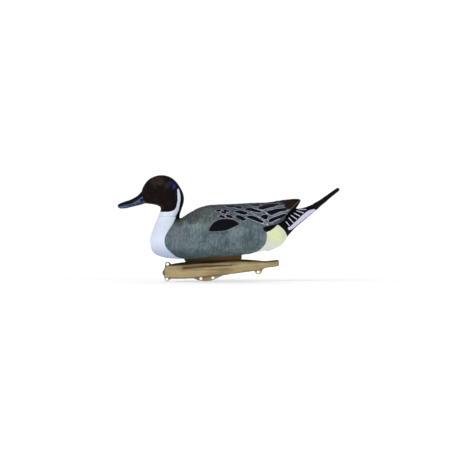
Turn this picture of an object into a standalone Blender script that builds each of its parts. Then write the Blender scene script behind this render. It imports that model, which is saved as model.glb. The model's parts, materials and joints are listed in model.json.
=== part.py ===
"""A floating duck decoy, a pintail drake, built as it comes apart on a bench.

A blow-moulded body shell floats on a hollow keel filled with ballast sand. The head is its own moulding,
held in the body's neck collar by a snap ring, so it turns. The long tail feathers are a soft insert that
pulls out of a socket. The keel hangs on two screws in moulded bosses.

The frame: +Z up, the bill towards -X, the origin on the waterline under the middle of the back.
Tables and sizes are in millimetres, and MM turns them into the scene's metres.
"""

import math

import bmesh
import bpy
import numpy as np
from mathutils import Matrix, Vector

MM = 0.001

# Driving dimensions
WALL = 1.8  # blow-moulded wall
GAP = 0.3  # clearance between pieces
AROUND = 20  # points around a moulding's section
NECK_X = -94.5  # the neck's turning axis
SEAM_Z = 64.5  # height of the collar's rim
COLLAR_R = 22.0
COLLAR_BORE_R = 15.5
COLLAR_THICK = 3.0
PAD_X = (-62.5, 54.3)  # the keel pad under the belly
PAD_HALF_WIDTH = 10.0
PAD_MID_Z = -25.0
PAD_SLOPE = 0.052  # the pad's underside rises towards the tail
SCREW_X = (-54.0, 33.0)
SCREW_R = 2.0
BOSS_R = 6.0
BOSS_HEIGHT = 17.0
SEAT_DEPTH = 12.0  # from the pad down to the screw head's seat in the keel
COUNTERBORE_R = 4.6
LINE_EYE_R = 3.0
WEB_HALF_THICK = 1.7
TAIL_JOINT = (202.5, 84.0)  # middle of the tail insert's joint face
TAIL_RISE = math.radians(30)
TAIL_PLUG_R = 3.6
TAIL_PLUG_LENGTH = 15.0
EYE_AT = (-120.5, 123.0)
EYE_R = 4.2
VENT_X = 110.0
VENT_R = 4.0
FILL_AT = (130.0, -31.2)  # middle of the fill hole, in the end face of the keel's tail
FILL_R = 3.6
SAND_TOP_Z = -41.0  # enough sand for the decoy to float at the frame's zero height

# The hull, along X: place, top, bottom, half width, height of the widest point
HULL = [
    (-132.6, 19.0, 13.5, 3.0, 16.3),
    (-130.4, 28.0, -1.5, 16.0, 15.5),
    (-126.0, 34.0, -9.2, 25.5, 15.0),
    (-119.0, 39.0, -14.4, 35.5, 15.0),
    (-108.0, 45.0, -18.5, 46.0, 16.0),
    (-92.0, 52.0, -21.2, 56.5, 18.0),
    (-72.0, 60.0, -22.2, 65.5, 20.0),
    (-51.0, 72.8, -21.6, 71.0, 22.0),
    (-31.0, 83.0, -20.2, 74.0, 24.0),
    (-10.0, 88.2, -18.6, 75.5, 25.0),
    (20.0, 89.2, -16.3, 75.0, 26.0),
    (51.0, 90.0, -13.8, 70.5, 27.0),
    (72.0, 88.5, -11.1, 64.5, 28.0),
    (96.0, 84.0, -6.2, 55.5, 29.0),
    (117.0, 76.5, -2.9, 46.0, 31.0),
    (135.0, 66.0, 6.2, 34.0, 34.0),
    (145.0, 56.0, 17.5, 24.0, 37.0),
    (150.0, 47.0, 27.0, 14.0, 38.0),
]
HULL_FULLNESS = (2.15, 2.5)  # superellipse powers of the section above and below its widest point

# The breast and neck, up Z: place, front, back, half width, widest place
BREAST = [
    (-13.0, -119.0, -70.0, 30.0, -92.0),
    (-8.0, -126.2, -62.0, 39.0, -92.0),
    (-2.0, -130.0, -55.0, 46.0, -90.0),
    (6.0, -131.9, -48.0, 51.0, -88.0),
    (16.4, -132.7, -46.0, 52.5, -88.0),
    (27.0, -130.9, -49.0, 49.0, -88.0),
    (37.0, -127.8, -55.0, 42.0, -90.0),
    (47.0, -124.1, -62.0, 33.5, -92.0),
    (56.0, -120.2, -70.0, 26.0, -94.0),
    (61.0, -117.9, -72.2, 23.0, -94.5),
    (64.5, -116.5, -72.5, 22.0, -94.5),
]

# The head and upper neck, up Z, as the breast
HEAD = [
    (64.8, -116.5, -72.5, 22.0, -94.5),
    (70.0, -114.3, -71.8, 21.4, -93.0),
    (76.0, -111.9, -69.8, 20.4, -92.0),
    (81.0, -111.3, -68.2, 20.0, -93.0),
    (84.5, -113.0, -66.9, 20.0, -95.0),
    (87.5, -119.0, -65.8, 20.2, -100.0),
    (89.6, -128.0, -65.2, 20.4, -104.0),
    (91.3, -138.5, -64.8, 20.6, -106.0),
    (96.5, -145.6, -63.8, 21.0, -107.0),
    (102.5, -148.8, -63.6, 21.4, -108.0),
    (110.5, -150.4, -65.0, 21.6, -109.0),
    (118.0, -149.7, -67.9, 21.4, -109.0),
    (125.0, -147.2, -71.8, 20.6, -109.0),
    (132.2, -143.1, -76.5, 18.8, -109.0),
    (137.4, -139.0, -81.0, 16.6, -109.0),
    (142.5, -132.8, -86.9, 13.2, -110.0),
    (146.6, -124.4, -94.3, 8.8, -110.0),
    (149.2, -115.5, -103.8, 3.6, -110.0),
]

# The bill, along X, as the hull
BILL = [
    (-198.9, 87.9, 84.4, 4.2, 85.8),
    (-196.8, 89.6, 82.4, 7.6, 85.2),
    (-191.7, 92.3, 80.9, 9.9, 85.0),
    (-184.5, 95.1, 81.0, 10.3, 85.6),
    (-174.3, 98.4, 83.2, 9.5, 87.6),
    (-166.0, 102.5, 85.1, 9.0, 90.0),
    (-158.0, 107.6, 87.1, 9.3, 93.0),
    (-152.0, 113.5, 88.6, 10.2, 96.0),
    (-143.0, 120.0, 91.5, 12.0, 99.0),
    (-130.0, 118.0, 95.0, 10.0, 102.0),
]
BILL_FULLNESS = (1.8, 2.2)

# The folded wings over the rump, along X: place, top, lower edge, half width
WINGS = [
    (38.0, 89.5, 58.0, 52.0),
    (70.0, 91.7, 47.0, 60.0),
    (96.0, 92.6, 41.0, 56.5),
    (113.0, 93.7, 46.0, 49.0),
    (133.0, 97.4, 58.5, 38.0),
    (150.0, 99.7, 70.5, 26.5),
    (163.0, 100.8, 78.5, 16.0),
    (170.0, 100.8, 87.0, 9.5),
    (175.3, 99.0, 95.5, 3.0),
]

# The tail's fan of feathers, along X, as the hull
TAIL = [
    (112.0, 70.0, 8.0, 36.0, 38.0),
    (140.0, 76.0, 15.5, 33.0, 46.0),
    (149.5, 78.0, 25.0, 30.0, 52.0),
    (164.0, 80.4, 41.0, 25.0, 60.0),
    (174.5, 81.2, 50.2, 20.5, 65.0),
    (184.5, 83.6, 58.6, 16.0, 70.0),
    (195.0, 87.4, 67.6, 11.4, 77.0),
    (209.0, 94.5, 78.6, 7.0, 86.0),
]
TAIL_FULLNESS = (1.7, 1.6)

# The long tail feathers, along X, as the hull
SPRIG = [
    (196.0, 88.0, 69.0, 9.0, 78.0),
    (209.0, 94.8, 79.0, 7.0, 86.5),
    (217.0, 99.6, 86.6, 6.0, 93.0),
    (226.0, 105.9, 93.8, 5.2, 99.8),
    (236.0, 113.0, 102.7, 4.6, 107.9),
    (246.0, 119.9, 110.8, 4.1, 115.4),
    (251.0, 122.9, 114.9, 3.5, 119.0),
    (254.6, 122.0, 118.0, 1.8, 120.0),
]
SPRIG_FULLNESS = (2.0, 2.0)

# The keel, along X, as the hull
KEEL = [
    (-107.6, -48.5, -53.5, 3.0, -51.0),
    (-105.5, -41.5, -58.5, 7.2, -50.5),
    (-101.0, -36.5, -61.8, 10.0, -50.5),
    (-92.0, -33.6, -63.0, 12.2, -50.5),
    (-72.0, -30.1, -63.1, 13.6, -50.0),
    (-51.0, -27.9, -62.7, 14.0, -49.0),
    (-31.0, -26.2, -61.1, 14.0, -47.5),
    (-10.0, -24.8, -59.0, 13.5, -45.5),
    (10.0, -23.8, -56.6, 12.6, -43.0),
    (31.0, -23.2, -53.9, 11.5, -41.0),
    (51.0, -23.2, -50.8, 10.3, -39.0),
    (72.0, -24.2, -48.2, 9.0, -37.5),
    (88.0, -25.4, -46.1, 8.1, -36.5),
    (98.5, -26.6, -43.2, 7.3, -35.5),
    (105.0, -26.6, -40.6, 6.8, -34.0),
    (117.0, -25.4, -39.2, 6.5, -32.3),
    (130.0, -24.3, -37.1, 6.3, -30.7),
]
KEEL_FULLNESS = (2.8, 2.8)

# The keel's flat webs: outline of each in X and Z, and the line eyes through it
FRONT_TOP_WEB = [(-103.0, -42.0), (-102.3, -31.5), (-99.5, -28.6), (-95.5, -28.4), (-92.0, -30.4), (-86.0, -40.0)]
FRONT_LOW_WEB = [(-104.5, -55.0), (-102.6, -66.0), (-100.0, -68.3), (-97.0, -68.3), (-94.4, -66.2), (-86.0, -60.0)]
BELLY_WEB = [(-48.0, -60.0), (-34.0, -66.4), (-20.0, -68.1), (-8.0, -67.2), (6.0, -61.4), (22.0, -52.0)]
REAR_WEB = [(78.5, -42.0), (83.0, -51.0), (86.5, -53.7), (90.5, -53.9), (94.5, -51.8), (99.0, -41.0)]
LINE_EYES = {
    "front_top": (-97.3, -33.2),
    "front_low": (-98.7, -63.9),
    "belly_front": (-28.8, -62.9),
    "belly_rear": (-4.2, -61.2),
    "rear": (88.6, -49.4),
}


def smooth(stations, column, place):
    """A column of a station table at any place, on a cubic through the stations that never overshoots."""
    at = np.array([s[0] for s in stations], float)
    value = np.array([s[column] for s in stations], float)
    step = np.diff(at)
    slope = np.diff(value) / step
    tangent = np.concatenate([slope[:1], np.zeros(len(at) - 2), slope[-1:]])
    for i in range(1, len(at) - 1):
        if slope[i - 1] * slope[i] > 0:
            before, after = 2 * step[i] + step[i - 1], step[i] + 2 * step[i - 1]
            tangent[i] = (before + after) / (before / slope[i - 1] + after / slope[i])
    i = int(np.clip(np.searchsorted(at, place) - 1, 0, len(at) - 2))
    t = (place - at[i]) / step[i]
    return float(
        value[i] * (1 + 2 * t) * (1 - t) ** 2
        + step[i] * tangent[i] * t * (1 - t) ** 2
        + value[i + 1] * t * t * (3 - 2 * t)
        + step[i] * tangent[i + 1] * t * t * (t - 1)
    )


def places(stations, count, inset, ends):
    """Pairs of a ring's own place and the place whose section it takes.

    An inner skin takes each section from a little further out, so that its wall is full where a moulding
    closes. Rings lie closer together near both ends, where the shape turns fastest.
    """
    first, last = (stations[0][0], stations[-1][0]) if ends is None else ends
    middle, half = (first + last) / 2, (last - first) / 2
    for i in range(count):
        share = -math.cos(math.pi * i / (count - 1))
        share = 0.6 * share + 0.4 * (2 * i / (count - 1) - 1)
        place = middle + half * share
        yield middle + (half - inset) * share, place


def rounded(angle, power):
    """A superellipse's unit point: power 2 is an ellipse, and more is fuller."""
    across, up = math.cos(angle), math.sin(angle)
    return (
        math.copysign(abs(across) ** (2 / power), across),
        math.copysign(abs(up) ** (2 / power), up),
    )


def upright_ring(stations, x, place, fullness, inset):
    """A section across X: top, bottom, half width and the height of the widest point."""
    top, bottom, half, wide = (smooth(stations, column, place) for column in (1, 2, 3, 4))
    top, bottom, half = top - inset, bottom + inset, max(half - inset, 0.6)
    wide = min(max(wide, bottom + 0.4), top - 0.4)
    ring = []
    for i in range(AROUND):
        angle = 2 * math.pi * i / AROUND
        across, up = rounded(angle, fullness[0] if math.sin(angle) > 0 else fullness[1])
        ring.append((x, half * across, wide + up * (top - wide if up > 0 else wide - bottom)))
    return ring


def wing_ring(stations, x, place, fullness, inset):
    """A dome across X with a flat underside at the folded wings' lower edge."""
    top, lower, half = (smooth(stations, column, place) for column in (1, 2, 3))
    top, lower, half = top - inset, lower + inset, max(half - inset, 0.6)
    ring = []
    for i in range(AROUND):
        across, up = rounded(math.pi * i / (AROUND - 1), fullness[0])
        ring.append((x, half * across, lower + up * max(top - lower, 0.6)))
    return ring


def level_ring(stations, z, place, fullness, inset):
    """A section across Z, two half ellipses that meet at its widest place: front, back, half width."""
    front, back, half, wide = (smooth(stations, column, place) for column in (1, 2, 3, 4))
    front, back, half = front + inset, back - inset, max(half - inset, 0.6)
    wide = min(max(wide, front + 0.4), back - 0.4)
    ring = []
    for i in range(AROUND):
        along, across = rounded(2 * math.pi * i / AROUND, fullness[0])
        ring.append((wide + along * (back - wide if along > 0 else wide - front), half * across, z))
    return ring


def add(name, mesh, material=None):
    """A new object in the decoy's collection."""
    obj = bpy.data.objects.new(name, mesh)
    decoy.objects.link(obj)
    if material:
        mesh.materials.append(material)
    return obj


def loft(name, ring, stations, count, fullness=(2, 2), inset=0.0, ends=None, material=None):
    """A closed solid through rings along a station table, with a face at each end."""
    mesh = bpy.data.meshes.new(name)
    bm = bmesh.new()
    rings = [
        [bm.verts.new([c * MM for c in point]) for point in ring(stations, own, taken, fullness, inset)]
        for own, taken in places(stations, count, inset, ends)
    ]
    for one, other in zip(rings, rings[1:]):
        for i in range(AROUND):
            j = (i + 1) % AROUND
            bm.faces.new((one[i], one[j], other[j], other[i]))
    bm.faces.new(rings[0])
    bm.faces.new(rings[-1])
    bmesh.ops.recalc_face_normals(bm, faces=bm.faces)
    bm.to_mesh(mesh)
    bm.free()
    return add(name, mesh, material)


def cylinder(name, radius, start, end, sides=24):
    """A plain round bar between two points, turned so that no corner lies on the centre plane."""
    start, end = Vector(start) * MM, Vector(end) * MM
    place = Matrix.Translation((start + end) / 2) @ (end - start).to_track_quat("Z", "Y").to_matrix().to_4x4()
    mesh = bpy.data.meshes.new(name)
    bm = bmesh.new()
    bmesh.ops.create_cone(
        bm,
        cap_ends=True,
        segments=sides,
        radius1=radius * MM,
        radius2=radius * MM,
        depth=(end - start).length,
        matrix=place @ Matrix.Rotation(math.pi / sides, 4, "Z"),
    )
    bm.to_mesh(mesh)
    bm.free()
    return add(name, mesh)


def box(name, low, high):
    """A plain box between two corners."""
    low, high = Vector(low) * MM, Vector(high) * MM
    mesh = bpy.data.meshes.new(name)
    bm = bmesh.new()
    size = Matrix.Diagonal((high - low).to_4d())
    size[3][3] = 1
    bmesh.ops.create_cube(bm, size=1, matrix=Matrix.Translation((low + high) / 2) @ size)
    bm.to_mesh(mesh)
    bm.free()
    return add(name, mesh)


def plate(name, outline, half_thick):
    """A flat web on the centre plane, from its outline in X and Z."""
    mesh = bpy.data.meshes.new(name)
    bm = bmesh.new()
    face = bm.faces.new([bm.verts.new((x * MM, -half_thick * MM, z * MM)) for x, z in outline])
    grown = bmesh.ops.extrude_face_region(bm, geom=[face])
    moved = [v for v in grown["geom"] if isinstance(v, bmesh.types.BMVert)]
    bmesh.ops.translate(bm, verts=moved, vec=(0, 2 * half_thick * MM, 0))
    bmesh.ops.recalc_face_normals(bm, faces=bm.faces)
    bm.to_mesh(mesh)
    bm.free()
    return add(name, mesh)


def turned(name, profile, at, axis=(0, 0, 1), closed=False, steps=20, material=None):
    """A turned solid: radius and height pairs down the outer side, then placed with its axis at a point."""
    mesh = bpy.data.meshes.new(name)
    edges = [(i, i + 1) for i in range(len(profile) - 1)]
    if closed:
        edges.append((len(profile) - 1, 0))
    mesh.from_pydata([(r * MM, 0, h * MM) for r, h in profile], edges, [])
    obj = add(name, mesh, material)
    screw = obj.modifiers.new("turn", "SCREW")
    screw.axis = "Z"
    screw.steps = screw.render_steps = steps
    screw.use_merge_vertices = True
    screw.merge_threshold = 0.00001
    obj.location = Vector(at) * MM
    obj.rotation_mode = "QUATERNION"
    obj.rotation_quaternion = Vector(axis).to_track_quat("Z", "Y")
    return obj


def combine(target, operation, *others):
    """Unions the others with the target, or takes them away, all at once. They stay on as hidden cutters."""
    step = bpy.data.collections.new(f"{target.name} {operation.lower()} {len(target.modifiers)}")
    cutters.children.link(step)
    boolean = target.modifiers.new(step.name, "BOOLEAN")
    boolean.operation = operation
    boolean.operand_type = "COLLECTION"
    boolean.collection = step
    for other in others:
        other.hide_render = True
        other.display_type = "WIRE"
        decoy.objects.unlink(other)
        step.objects.link(other)
    return target


def trim(obj, point, normal):
    """Cuts off what lies beyond a plane and closes the cut."""
    bm = bmesh.new()
    bm.from_mesh(obj.data)
    geometry = bm.verts[:] + bm.edges[:] + bm.faces[:]
    point = Vector(point) * MM
    cut = bmesh.ops.bisect_plane(bm, geom=geometry, plane_co=point, plane_no=Vector(normal), clear_outer=True)
    edges = [e for e in cut["geom_cut"] if isinstance(e, bmesh.types.BMEdge)]
    bmesh.ops.contextual_create(bm, geom=edges)
    bmesh.ops.recalc_face_normals(bm, faces=bm.faces)
    bm.to_mesh(obj.data)
    bm.free()
    return obj


def finish(name, red, green, blue, roughness, metallic=0.0):
    """A plain finish for one kind of piece."""
    material = bpy.data.materials.new(name)
    material.use_nodes = True
    shader = material.node_tree.nodes["Principled BSDF"]
    shader.inputs["Base Color"].default_value = (red, green, blue, 1)
    shader.inputs["Roughness"].default_value = roughness
    shader.inputs["Metallic"].default_value = metallic
    return material


def pad_z(x):
    """Height of the pad's underside."""
    return PAD_MID_Z + PAD_SLOPE * (x - sum(PAD_X) / 2)


def tail_point(along, up=0.0):
    """A point from the middle of the tail joint: along the insert's axis, and up across it."""
    x, z = TAIL_JOINT
    return (
        x + along * math.cos(TAIL_RISE) - up * math.sin(TAIL_RISE),
        0,
        z + along * math.sin(TAIL_RISE) + up * math.cos(TAIL_RISE),
    )


def vent_axis():
    """Direction out of the hull where the vent is."""
    rise = smooth(HULL, 2, VENT_X + 4) - smooth(HULL, 2, VENT_X - 4)
    return Vector((rise, 0, -8)).normalized()


def body_shell(material):
    """The body: hull, breast, folded wings and tail in one hollow moulding, with pad, bosses and sockets."""
    body = loft("body_shell", upright_ring, HULL, 23, HULL_FULLNESS, material=material)
    breast = loft("breast_skin", level_ring, BREAST, 10)
    wings = loft("wing_skin", wing_ring, WINGS, 12, (2.1,))
    tail = loft("tail_skin", upright_ring, TAIL, 9, TAIL_FULLNESS)
    trim(tail, tail_point(0), (math.cos(TAIL_RISE), 0, math.sin(TAIL_RISE)))
    pad = box("pad", (PAD_X[0], -PAD_HALF_WIDTH, -40), (PAD_X[1], PAD_HALF_WIDTH, -5))
    trim(pad, (sum(PAD_X) / 2, 0, PAD_MID_Z), (PAD_SLOPE, 0, -1))
    combine(body, "UNION", breast, wings, tail, pad)

    hollow = loft("hull_hollow", upright_ring, HULL, 20, HULL_FULLNESS, WALL)
    neck_top = SEAM_Z - COLLAR_THICK
    breast_hollow = loft("breast_hollow", level_ring, BREAST, 8, inset=WALL, ends=(-9.0, neck_top + WALL))
    wing_hollow = loft("wing_hollow", wing_ring, WINGS, 8, (2.1,), WALL, ends=(60.0, 158.0))
    tail_hollow = loft("tail_hollow", upright_ring, TAIL, 6, TAIL_FULLNESS, WALL, ends=(114.0, 184.0))
    bosses = []
    pilots = []
    for x in SCREW_X:
        low = pad_z(x)
        bosses.append(cylinder("boss", BOSS_R, (x, 0, low - 5), (x, 0, low + BOSS_HEIGHT), 16))
        pilots.append(cylinder("pilot", SCREW_R + GAP, (x, 0, low - 5), (x, 0, low + BOSS_HEIGHT - 2), 12))
    combine(hollow, "DIFFERENCE", *bosses)
    combine(body, "DIFFERENCE", hollow, breast_hollow, wing_hollow, tail_hollow)

    bore = cylinder("collar_bore", COLLAR_BORE_R, (NECK_X, 0, neck_top - 8), (NECK_X, 0, SEAM_Z + 8), 32)
    socket = cylinder("tail_socket", TAIL_PLUG_R + GAP, tail_point(-34), tail_point(6), 16)
    surface = Vector((VENT_X, 0, smooth(HULL, 2, VENT_X)))
    vent = cylinder("vent_bore", VENT_R, surface - 8 * vent_axis(), surface + 8 * vent_axis(), 16)
    combine(body, "DIFFERENCE", bore, socket, vent, *pilots)


def head_shell(material):
    """The head, upper neck and bill in one hollow moulding, with the stub that turns in the collar."""
    head = loft("head_shell", level_ring, HEAD, 20, (2.1,), material=material)
    bill = loft("bill_skin", upright_ring, BILL, 11, BILL_FULLNESS)
    stub = cylinder("stub", COLLAR_BORE_R - GAP, (NECK_X, 0, SEAM_Z - 12.5), (NECK_X, 0, SEAM_Z + 3), 32)
    combine(head, "UNION", bill, stub)
    hollow = loft("head_hollow", level_ring, HEAD, 16, (2.1,), WALL, ends=(SEAM_Z + 2.5 - WALL, HEAD[-1][0]))
    stub_bore = cylinder("stub_bore", 12.2, (NECK_X, 0, SEAM_Z - 16), (NECK_X, 0, SEAM_Z + 6), 32)
    groove = turned(
        "snap_groove",
        [(19.0, -3.3), (19.0, -6.0), (13.8, -6.0), (13.8, -3.3)],
        (NECK_X, 0, SEAM_Z),
        closed=True,
        steps=32,
    )
    recess = turned(
        "gasket_recess",
        [(20.2, 1.5), (20.2, -2.0), (15.9, -2.0), (15.9, 1.5)],
        (NECK_X, 0, SEAM_Z),
        closed=True,
        steps=32,
    )
    x, z = EYE_AT
    eye_cuts = []
    for side in (-1, 1):
        eye_cuts.append(cylinder("eye_hole", 3.0 + GAP, (x, side * 6, z), (x, side * 30, z), 16))
        eye_cuts.append(cylinder("eye_seat", EYE_R + GAP, (x, side * 18.9, z), (x, side * 30, z), 20))
    combine(head, "DIFFERENCE", hollow, stub_bore, groove, recess, *eye_cuts)


def neck_ring(material):
    """The split ring that snaps under the collar and holds the head down while it turns."""
    ring = turned(
        "neck_snap_ring",
        [(17.6, -3.6), (17.6, -5.7), (14.1, -5.7), (14.1, -3.6)],
        (NECK_X, 0, SEAM_Z),
        closed=True,
        steps=32,
        material=material,
    )
    split = box("ring_split", (NECK_X + 8, -1.6, SEAM_Z - 8), (NECK_X + 24, 1.6, SEAM_Z))
    combine(ring, "DIFFERENCE", split)


def neck_gasket(material):
    """The flat rubber ring between the head and the collar."""
    turned(
        "neck_gasket",
        [(19.9, 1.2), (19.9, 0.3), (16.2, 0.3), (16.2, 1.2)],
        (NECK_X, 0, SEAM_Z),
        closed=True,
        steps=32,
        material=material,
    )


def eye(name, side, material):
    """A domed eye with a short stem, pressed into the head from outside."""
    dome = [(EYE_R * math.cos(a), 1.9 * math.sin(a)) for a in np.linspace(math.pi / 2, 0, 5)]
    profile = [(0.0, 1.9)] + dome[1:] + [(EYE_R, -0.6), (3.0, -0.6), (3.0, -4.5), (0.0, -4.5)]
    turned(name, profile, (EYE_AT[0], side * 19.8, EYE_AT[1]), (0, side, 0), steps=16, material=material)


def tail_sprig(material):
    """The long central tail feathers: a soft insert with a plug that grips in the tail's socket."""
    sprig = loft("tail_sprig", upright_ring, SPRIG, 11, SPRIG_FULLNESS, material=material)
    trim(sprig, tail_point(GAP), (-math.cos(TAIL_RISE), 0, -math.sin(TAIL_RISE)))
    plug = cylinder("tail_plug", TAIL_PLUG_R, tail_point(-TAIL_PLUG_LENGTH), tail_point(4), 16)
    combine(sprig, "UNION", plug)


def vent_plug(material):
    """The button that seals the blowing hole under the stern."""
    surface = Vector((VENT_X, 0, smooth(HULL, 2, VENT_X)))
    profile = [(0.0, 1.3), (3.6, 1.2), (5.4, 0.9), (5.4, 0.5), (VENT_R - GAP, 0.5), (VENT_R - GAP, -5.0), (0.0, -5.0)]
    turned("body_vent_plug", profile, surface, vent_axis(), steps=16, material=material)


def keel_loft(name, count, inset, ends=None, material=None):
    """The keel's own form, or one inside it."""
    return loft(name, upright_ring, KEEL, count, KEEL_FULLNESS, inset, ends, material)


def keel_shell(material):
    """The keel: a flat land under the pad, webs with line eyes, screw tunnels and a hollow with a fill hole.

    Its nose is solid where the front line eyes pass through.
    """
    keel = keel_loft("keel_shell", 18, 0.0, material=material)
    land = box("land", (PAD_X[0] + 1, -9, -38), (PAD_X[1] - 1, 9, -10))
    trim(land, (sum(PAD_X) / 2, 0, PAD_MID_Z - GAP), (-PAD_SLOPE, 0, 1))
    webs = {"front_top": FRONT_TOP_WEB, "front_low": FRONT_LOW_WEB, "belly": BELLY_WEB, "rear": REAR_WEB}
    plates = [plate(f"{name}_web", outline, WEB_HALF_THICK) for name, outline in webs.items()]
    combine(keel, "UNION", land, *plates)
    over = box("over_land", (PAD_X[0] - 4, -16, -40), (PAD_X[1] + 4, 16, -5))
    trim(over, (sum(PAD_X) / 2, 0, PAD_MID_Z - GAP), (PAD_SLOPE, 0, -1))
    combine(keel, "DIFFERENCE", over)

    hollow = keel_loft("keel_hollow", 13, WALL, ends=(-94.0, 112.0))
    columns = []
    holes = []
    for x in SCREW_X:
        columns.append(cylinder("column", 6.4, (x, 0, -80), (x, 0, 0), 20))
        seat = pad_z(x) - SEAT_DEPTH
        holes.append(cylinder("counterbore", COUNTERBORE_R, (x, 0, -80), (x, 0, seat), 16))
        holes.append(cylinder("clearance", SCREW_R + GAP, (x, 0, seat - 5), (x, 0, seat + 25), 12))
    for name, (x, z) in LINE_EYES.items():
        holes.append(cylinder(f"{name}_eye", LINE_EYE_R, (x, -12, z), (x, 12, z), 16))
    x, z = FILL_AT
    holes.append(cylinder("fill_bore", FILL_R, (x - 21, 0, z), (x + 6, 0, z), 16))
    combine(hollow, "DIFFERENCE", *columns)
    combine(keel, "DIFFERENCE", hollow)
    combine(keel, "DIFFERENCE", *holes)


def keel_ballast(material):
    """The sand in the keel's forward part, around the screw tunnels."""
    ballast = keel_loft("keel_ballast", 10, WALL + GAP, ends=(-93.0, 66.0), material=material)
    over = box("sand_level", (-140, -20, SAND_TOP_Z), (90, 20, 0))
    around = [cylinder("around_column", 6.7, (x, 0, -80), (x, 0, 0), 20) for x in SCREW_X]
    combine(ballast, "DIFFERENCE", over, *around)


def fill_plug(material):
    """The button that closes the keel's fill hole, in the end of its tail."""
    profile = [(0.0, 1.2), (4.6, 1.2), (5.4, 0.7), (5.4, GAP), (FILL_R - GAP, GAP), (FILL_R - GAP, -9.0), (0.0, -9.0)]
    turned("keel_fill_plug", profile, (FILL_AT[0], 0, FILL_AT[1]), (1, 0, 0), steps=16, material=material)


def keel_screw(name, x, material):
    """A pan-head screw from the keel's seat up into the boss, with its thread as ridges."""
    profile = [(0.0, BOSS_HEIGHT - 3.5), (0.7, BOSS_HEIGHT - 4.0)]
    ridge = BOSS_HEIGHT - 5.5
    while ridge > 1.0:
        profile += [(SCREW_R, ridge), (SCREW_R - 0.5, ridge - 0.75)]
        ridge -= 1.5
    under = -SEAT_DEPTH - GAP - 1.6
    profile += [(SCREW_R - 0.4, 0.0), (SCREW_R - 0.4, under), (4.0, under), (3.6, under - 2.2), (0.0, under - 2.6)]
    screw = turned(name, profile, (x, 0, pad_z(x)), steps=12, material=material)
    slots = [box("slot", (-2.2, -0.5, under - 5), (2.2, 0.5, under - 1.2)) for turn in range(2)]
    for turn, slot in enumerate(slots):
        slot.location = screw.location
        slot.rotation_euler = (0, 0, turn * math.pi / 2)
    combine(screw, "DIFFERENCE", *slots)


def washer(name, x, material):
    """The sealing washer between a screw's head and its seat in the keel."""
    seat = -SEAT_DEPTH - GAP
    profile = [(4.3, seat), (4.3, seat - 1.0), (2.4, seat - 1.0), (2.4, seat)]
    turned(name, profile, (x, 0, pad_z(x)), closed=True, steps=16, material=material)


for leftover in list(bpy.data.objects):
    bpy.data.objects.remove(leftover)
decoy = bpy.data.collections.new("duck_decoy")
cutters = bpy.data.collections.new("cutters")
for collection in (decoy, cutters):
    bpy.context.scene.collection.children.link(collection)

grey_paint = finish("body_paint", 0.22, 0.26, 0.26, 0.7)
brown_paint = finish("head_paint", 0.03, 0.02, 0.018, 0.6)
black_rubber = finish("tail_black", 0.01, 0.01, 0.012, 0.55)
tan_plastic = finish("keel_plastic", 0.42, 0.31, 0.16, 0.5)
seal_rubber = finish("seal_rubber", 0.03, 0.03, 0.03, 0.8)
eye_gloss = finish("eye_gloss", 0.02, 0.012, 0.008, 0.08)
nylon = finish("nylon", 0.75, 0.72, 0.65, 0.45)
steel = finish("screw_steel", 0.6, 0.6, 0.6, 0.3, 1.0)
sand = finish("sand", 0.55, 0.43, 0.27, 0.95)

body_shell(grey_paint)
vent_plug(seal_rubber)
head_shell(brown_paint)
neck_ring(nylon)
neck_gasket(seal_rubber)
eye("left_eye", -1, eye_gloss)
eye("right_eye", 1, eye_gloss)
tail_sprig(black_rubber)
keel_shell(tan_plastic)
keel_ballast(sand)
fill_plug(seal_rubber)
for place, screw_x in zip(("front", "rear"), SCREW_X):
    keel_screw(f"{place}_keel_screw", screw_x, steel)
    washer(f"{place}_screw_washer", screw_x, seal_rubber)
for obj in decoy.objects:
    obj.data.shade_smooth()
    obj.data.set_sharp_from_angle(angle=math.radians(40))
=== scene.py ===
"""The looks of the floating duck decoy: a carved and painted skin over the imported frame.

Each moulding is a fine closed mesh. Its form is a field, negative inside, from tables of sections in
millimetres. Paint areas are distances from their outlines, kept as attributes that the materials read.
X runs from the bill back to the tail, Z up, and the bird's left is at -Y. Both sides are painted alike.
"""

import itertools
import json
import math

import bpy
import numpy as np
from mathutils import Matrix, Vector

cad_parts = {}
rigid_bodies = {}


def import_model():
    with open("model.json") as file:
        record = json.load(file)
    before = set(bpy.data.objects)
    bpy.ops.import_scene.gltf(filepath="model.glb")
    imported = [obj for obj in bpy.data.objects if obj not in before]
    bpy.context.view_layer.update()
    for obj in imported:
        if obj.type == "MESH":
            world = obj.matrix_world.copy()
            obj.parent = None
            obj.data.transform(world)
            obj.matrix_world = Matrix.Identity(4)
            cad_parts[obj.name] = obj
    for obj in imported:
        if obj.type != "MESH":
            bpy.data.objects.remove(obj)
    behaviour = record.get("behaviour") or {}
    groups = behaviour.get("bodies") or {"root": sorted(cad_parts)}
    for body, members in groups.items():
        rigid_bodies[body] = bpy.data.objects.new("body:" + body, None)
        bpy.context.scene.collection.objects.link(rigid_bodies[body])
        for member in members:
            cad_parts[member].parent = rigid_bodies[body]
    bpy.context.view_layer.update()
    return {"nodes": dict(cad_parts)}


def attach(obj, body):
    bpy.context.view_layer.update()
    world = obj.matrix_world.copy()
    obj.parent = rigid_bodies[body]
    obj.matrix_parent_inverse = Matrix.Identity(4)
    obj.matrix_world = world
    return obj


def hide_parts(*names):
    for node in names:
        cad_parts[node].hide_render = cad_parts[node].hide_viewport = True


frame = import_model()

MM = 0.001

# Sizes in millimetres, as the frame has them

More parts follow.
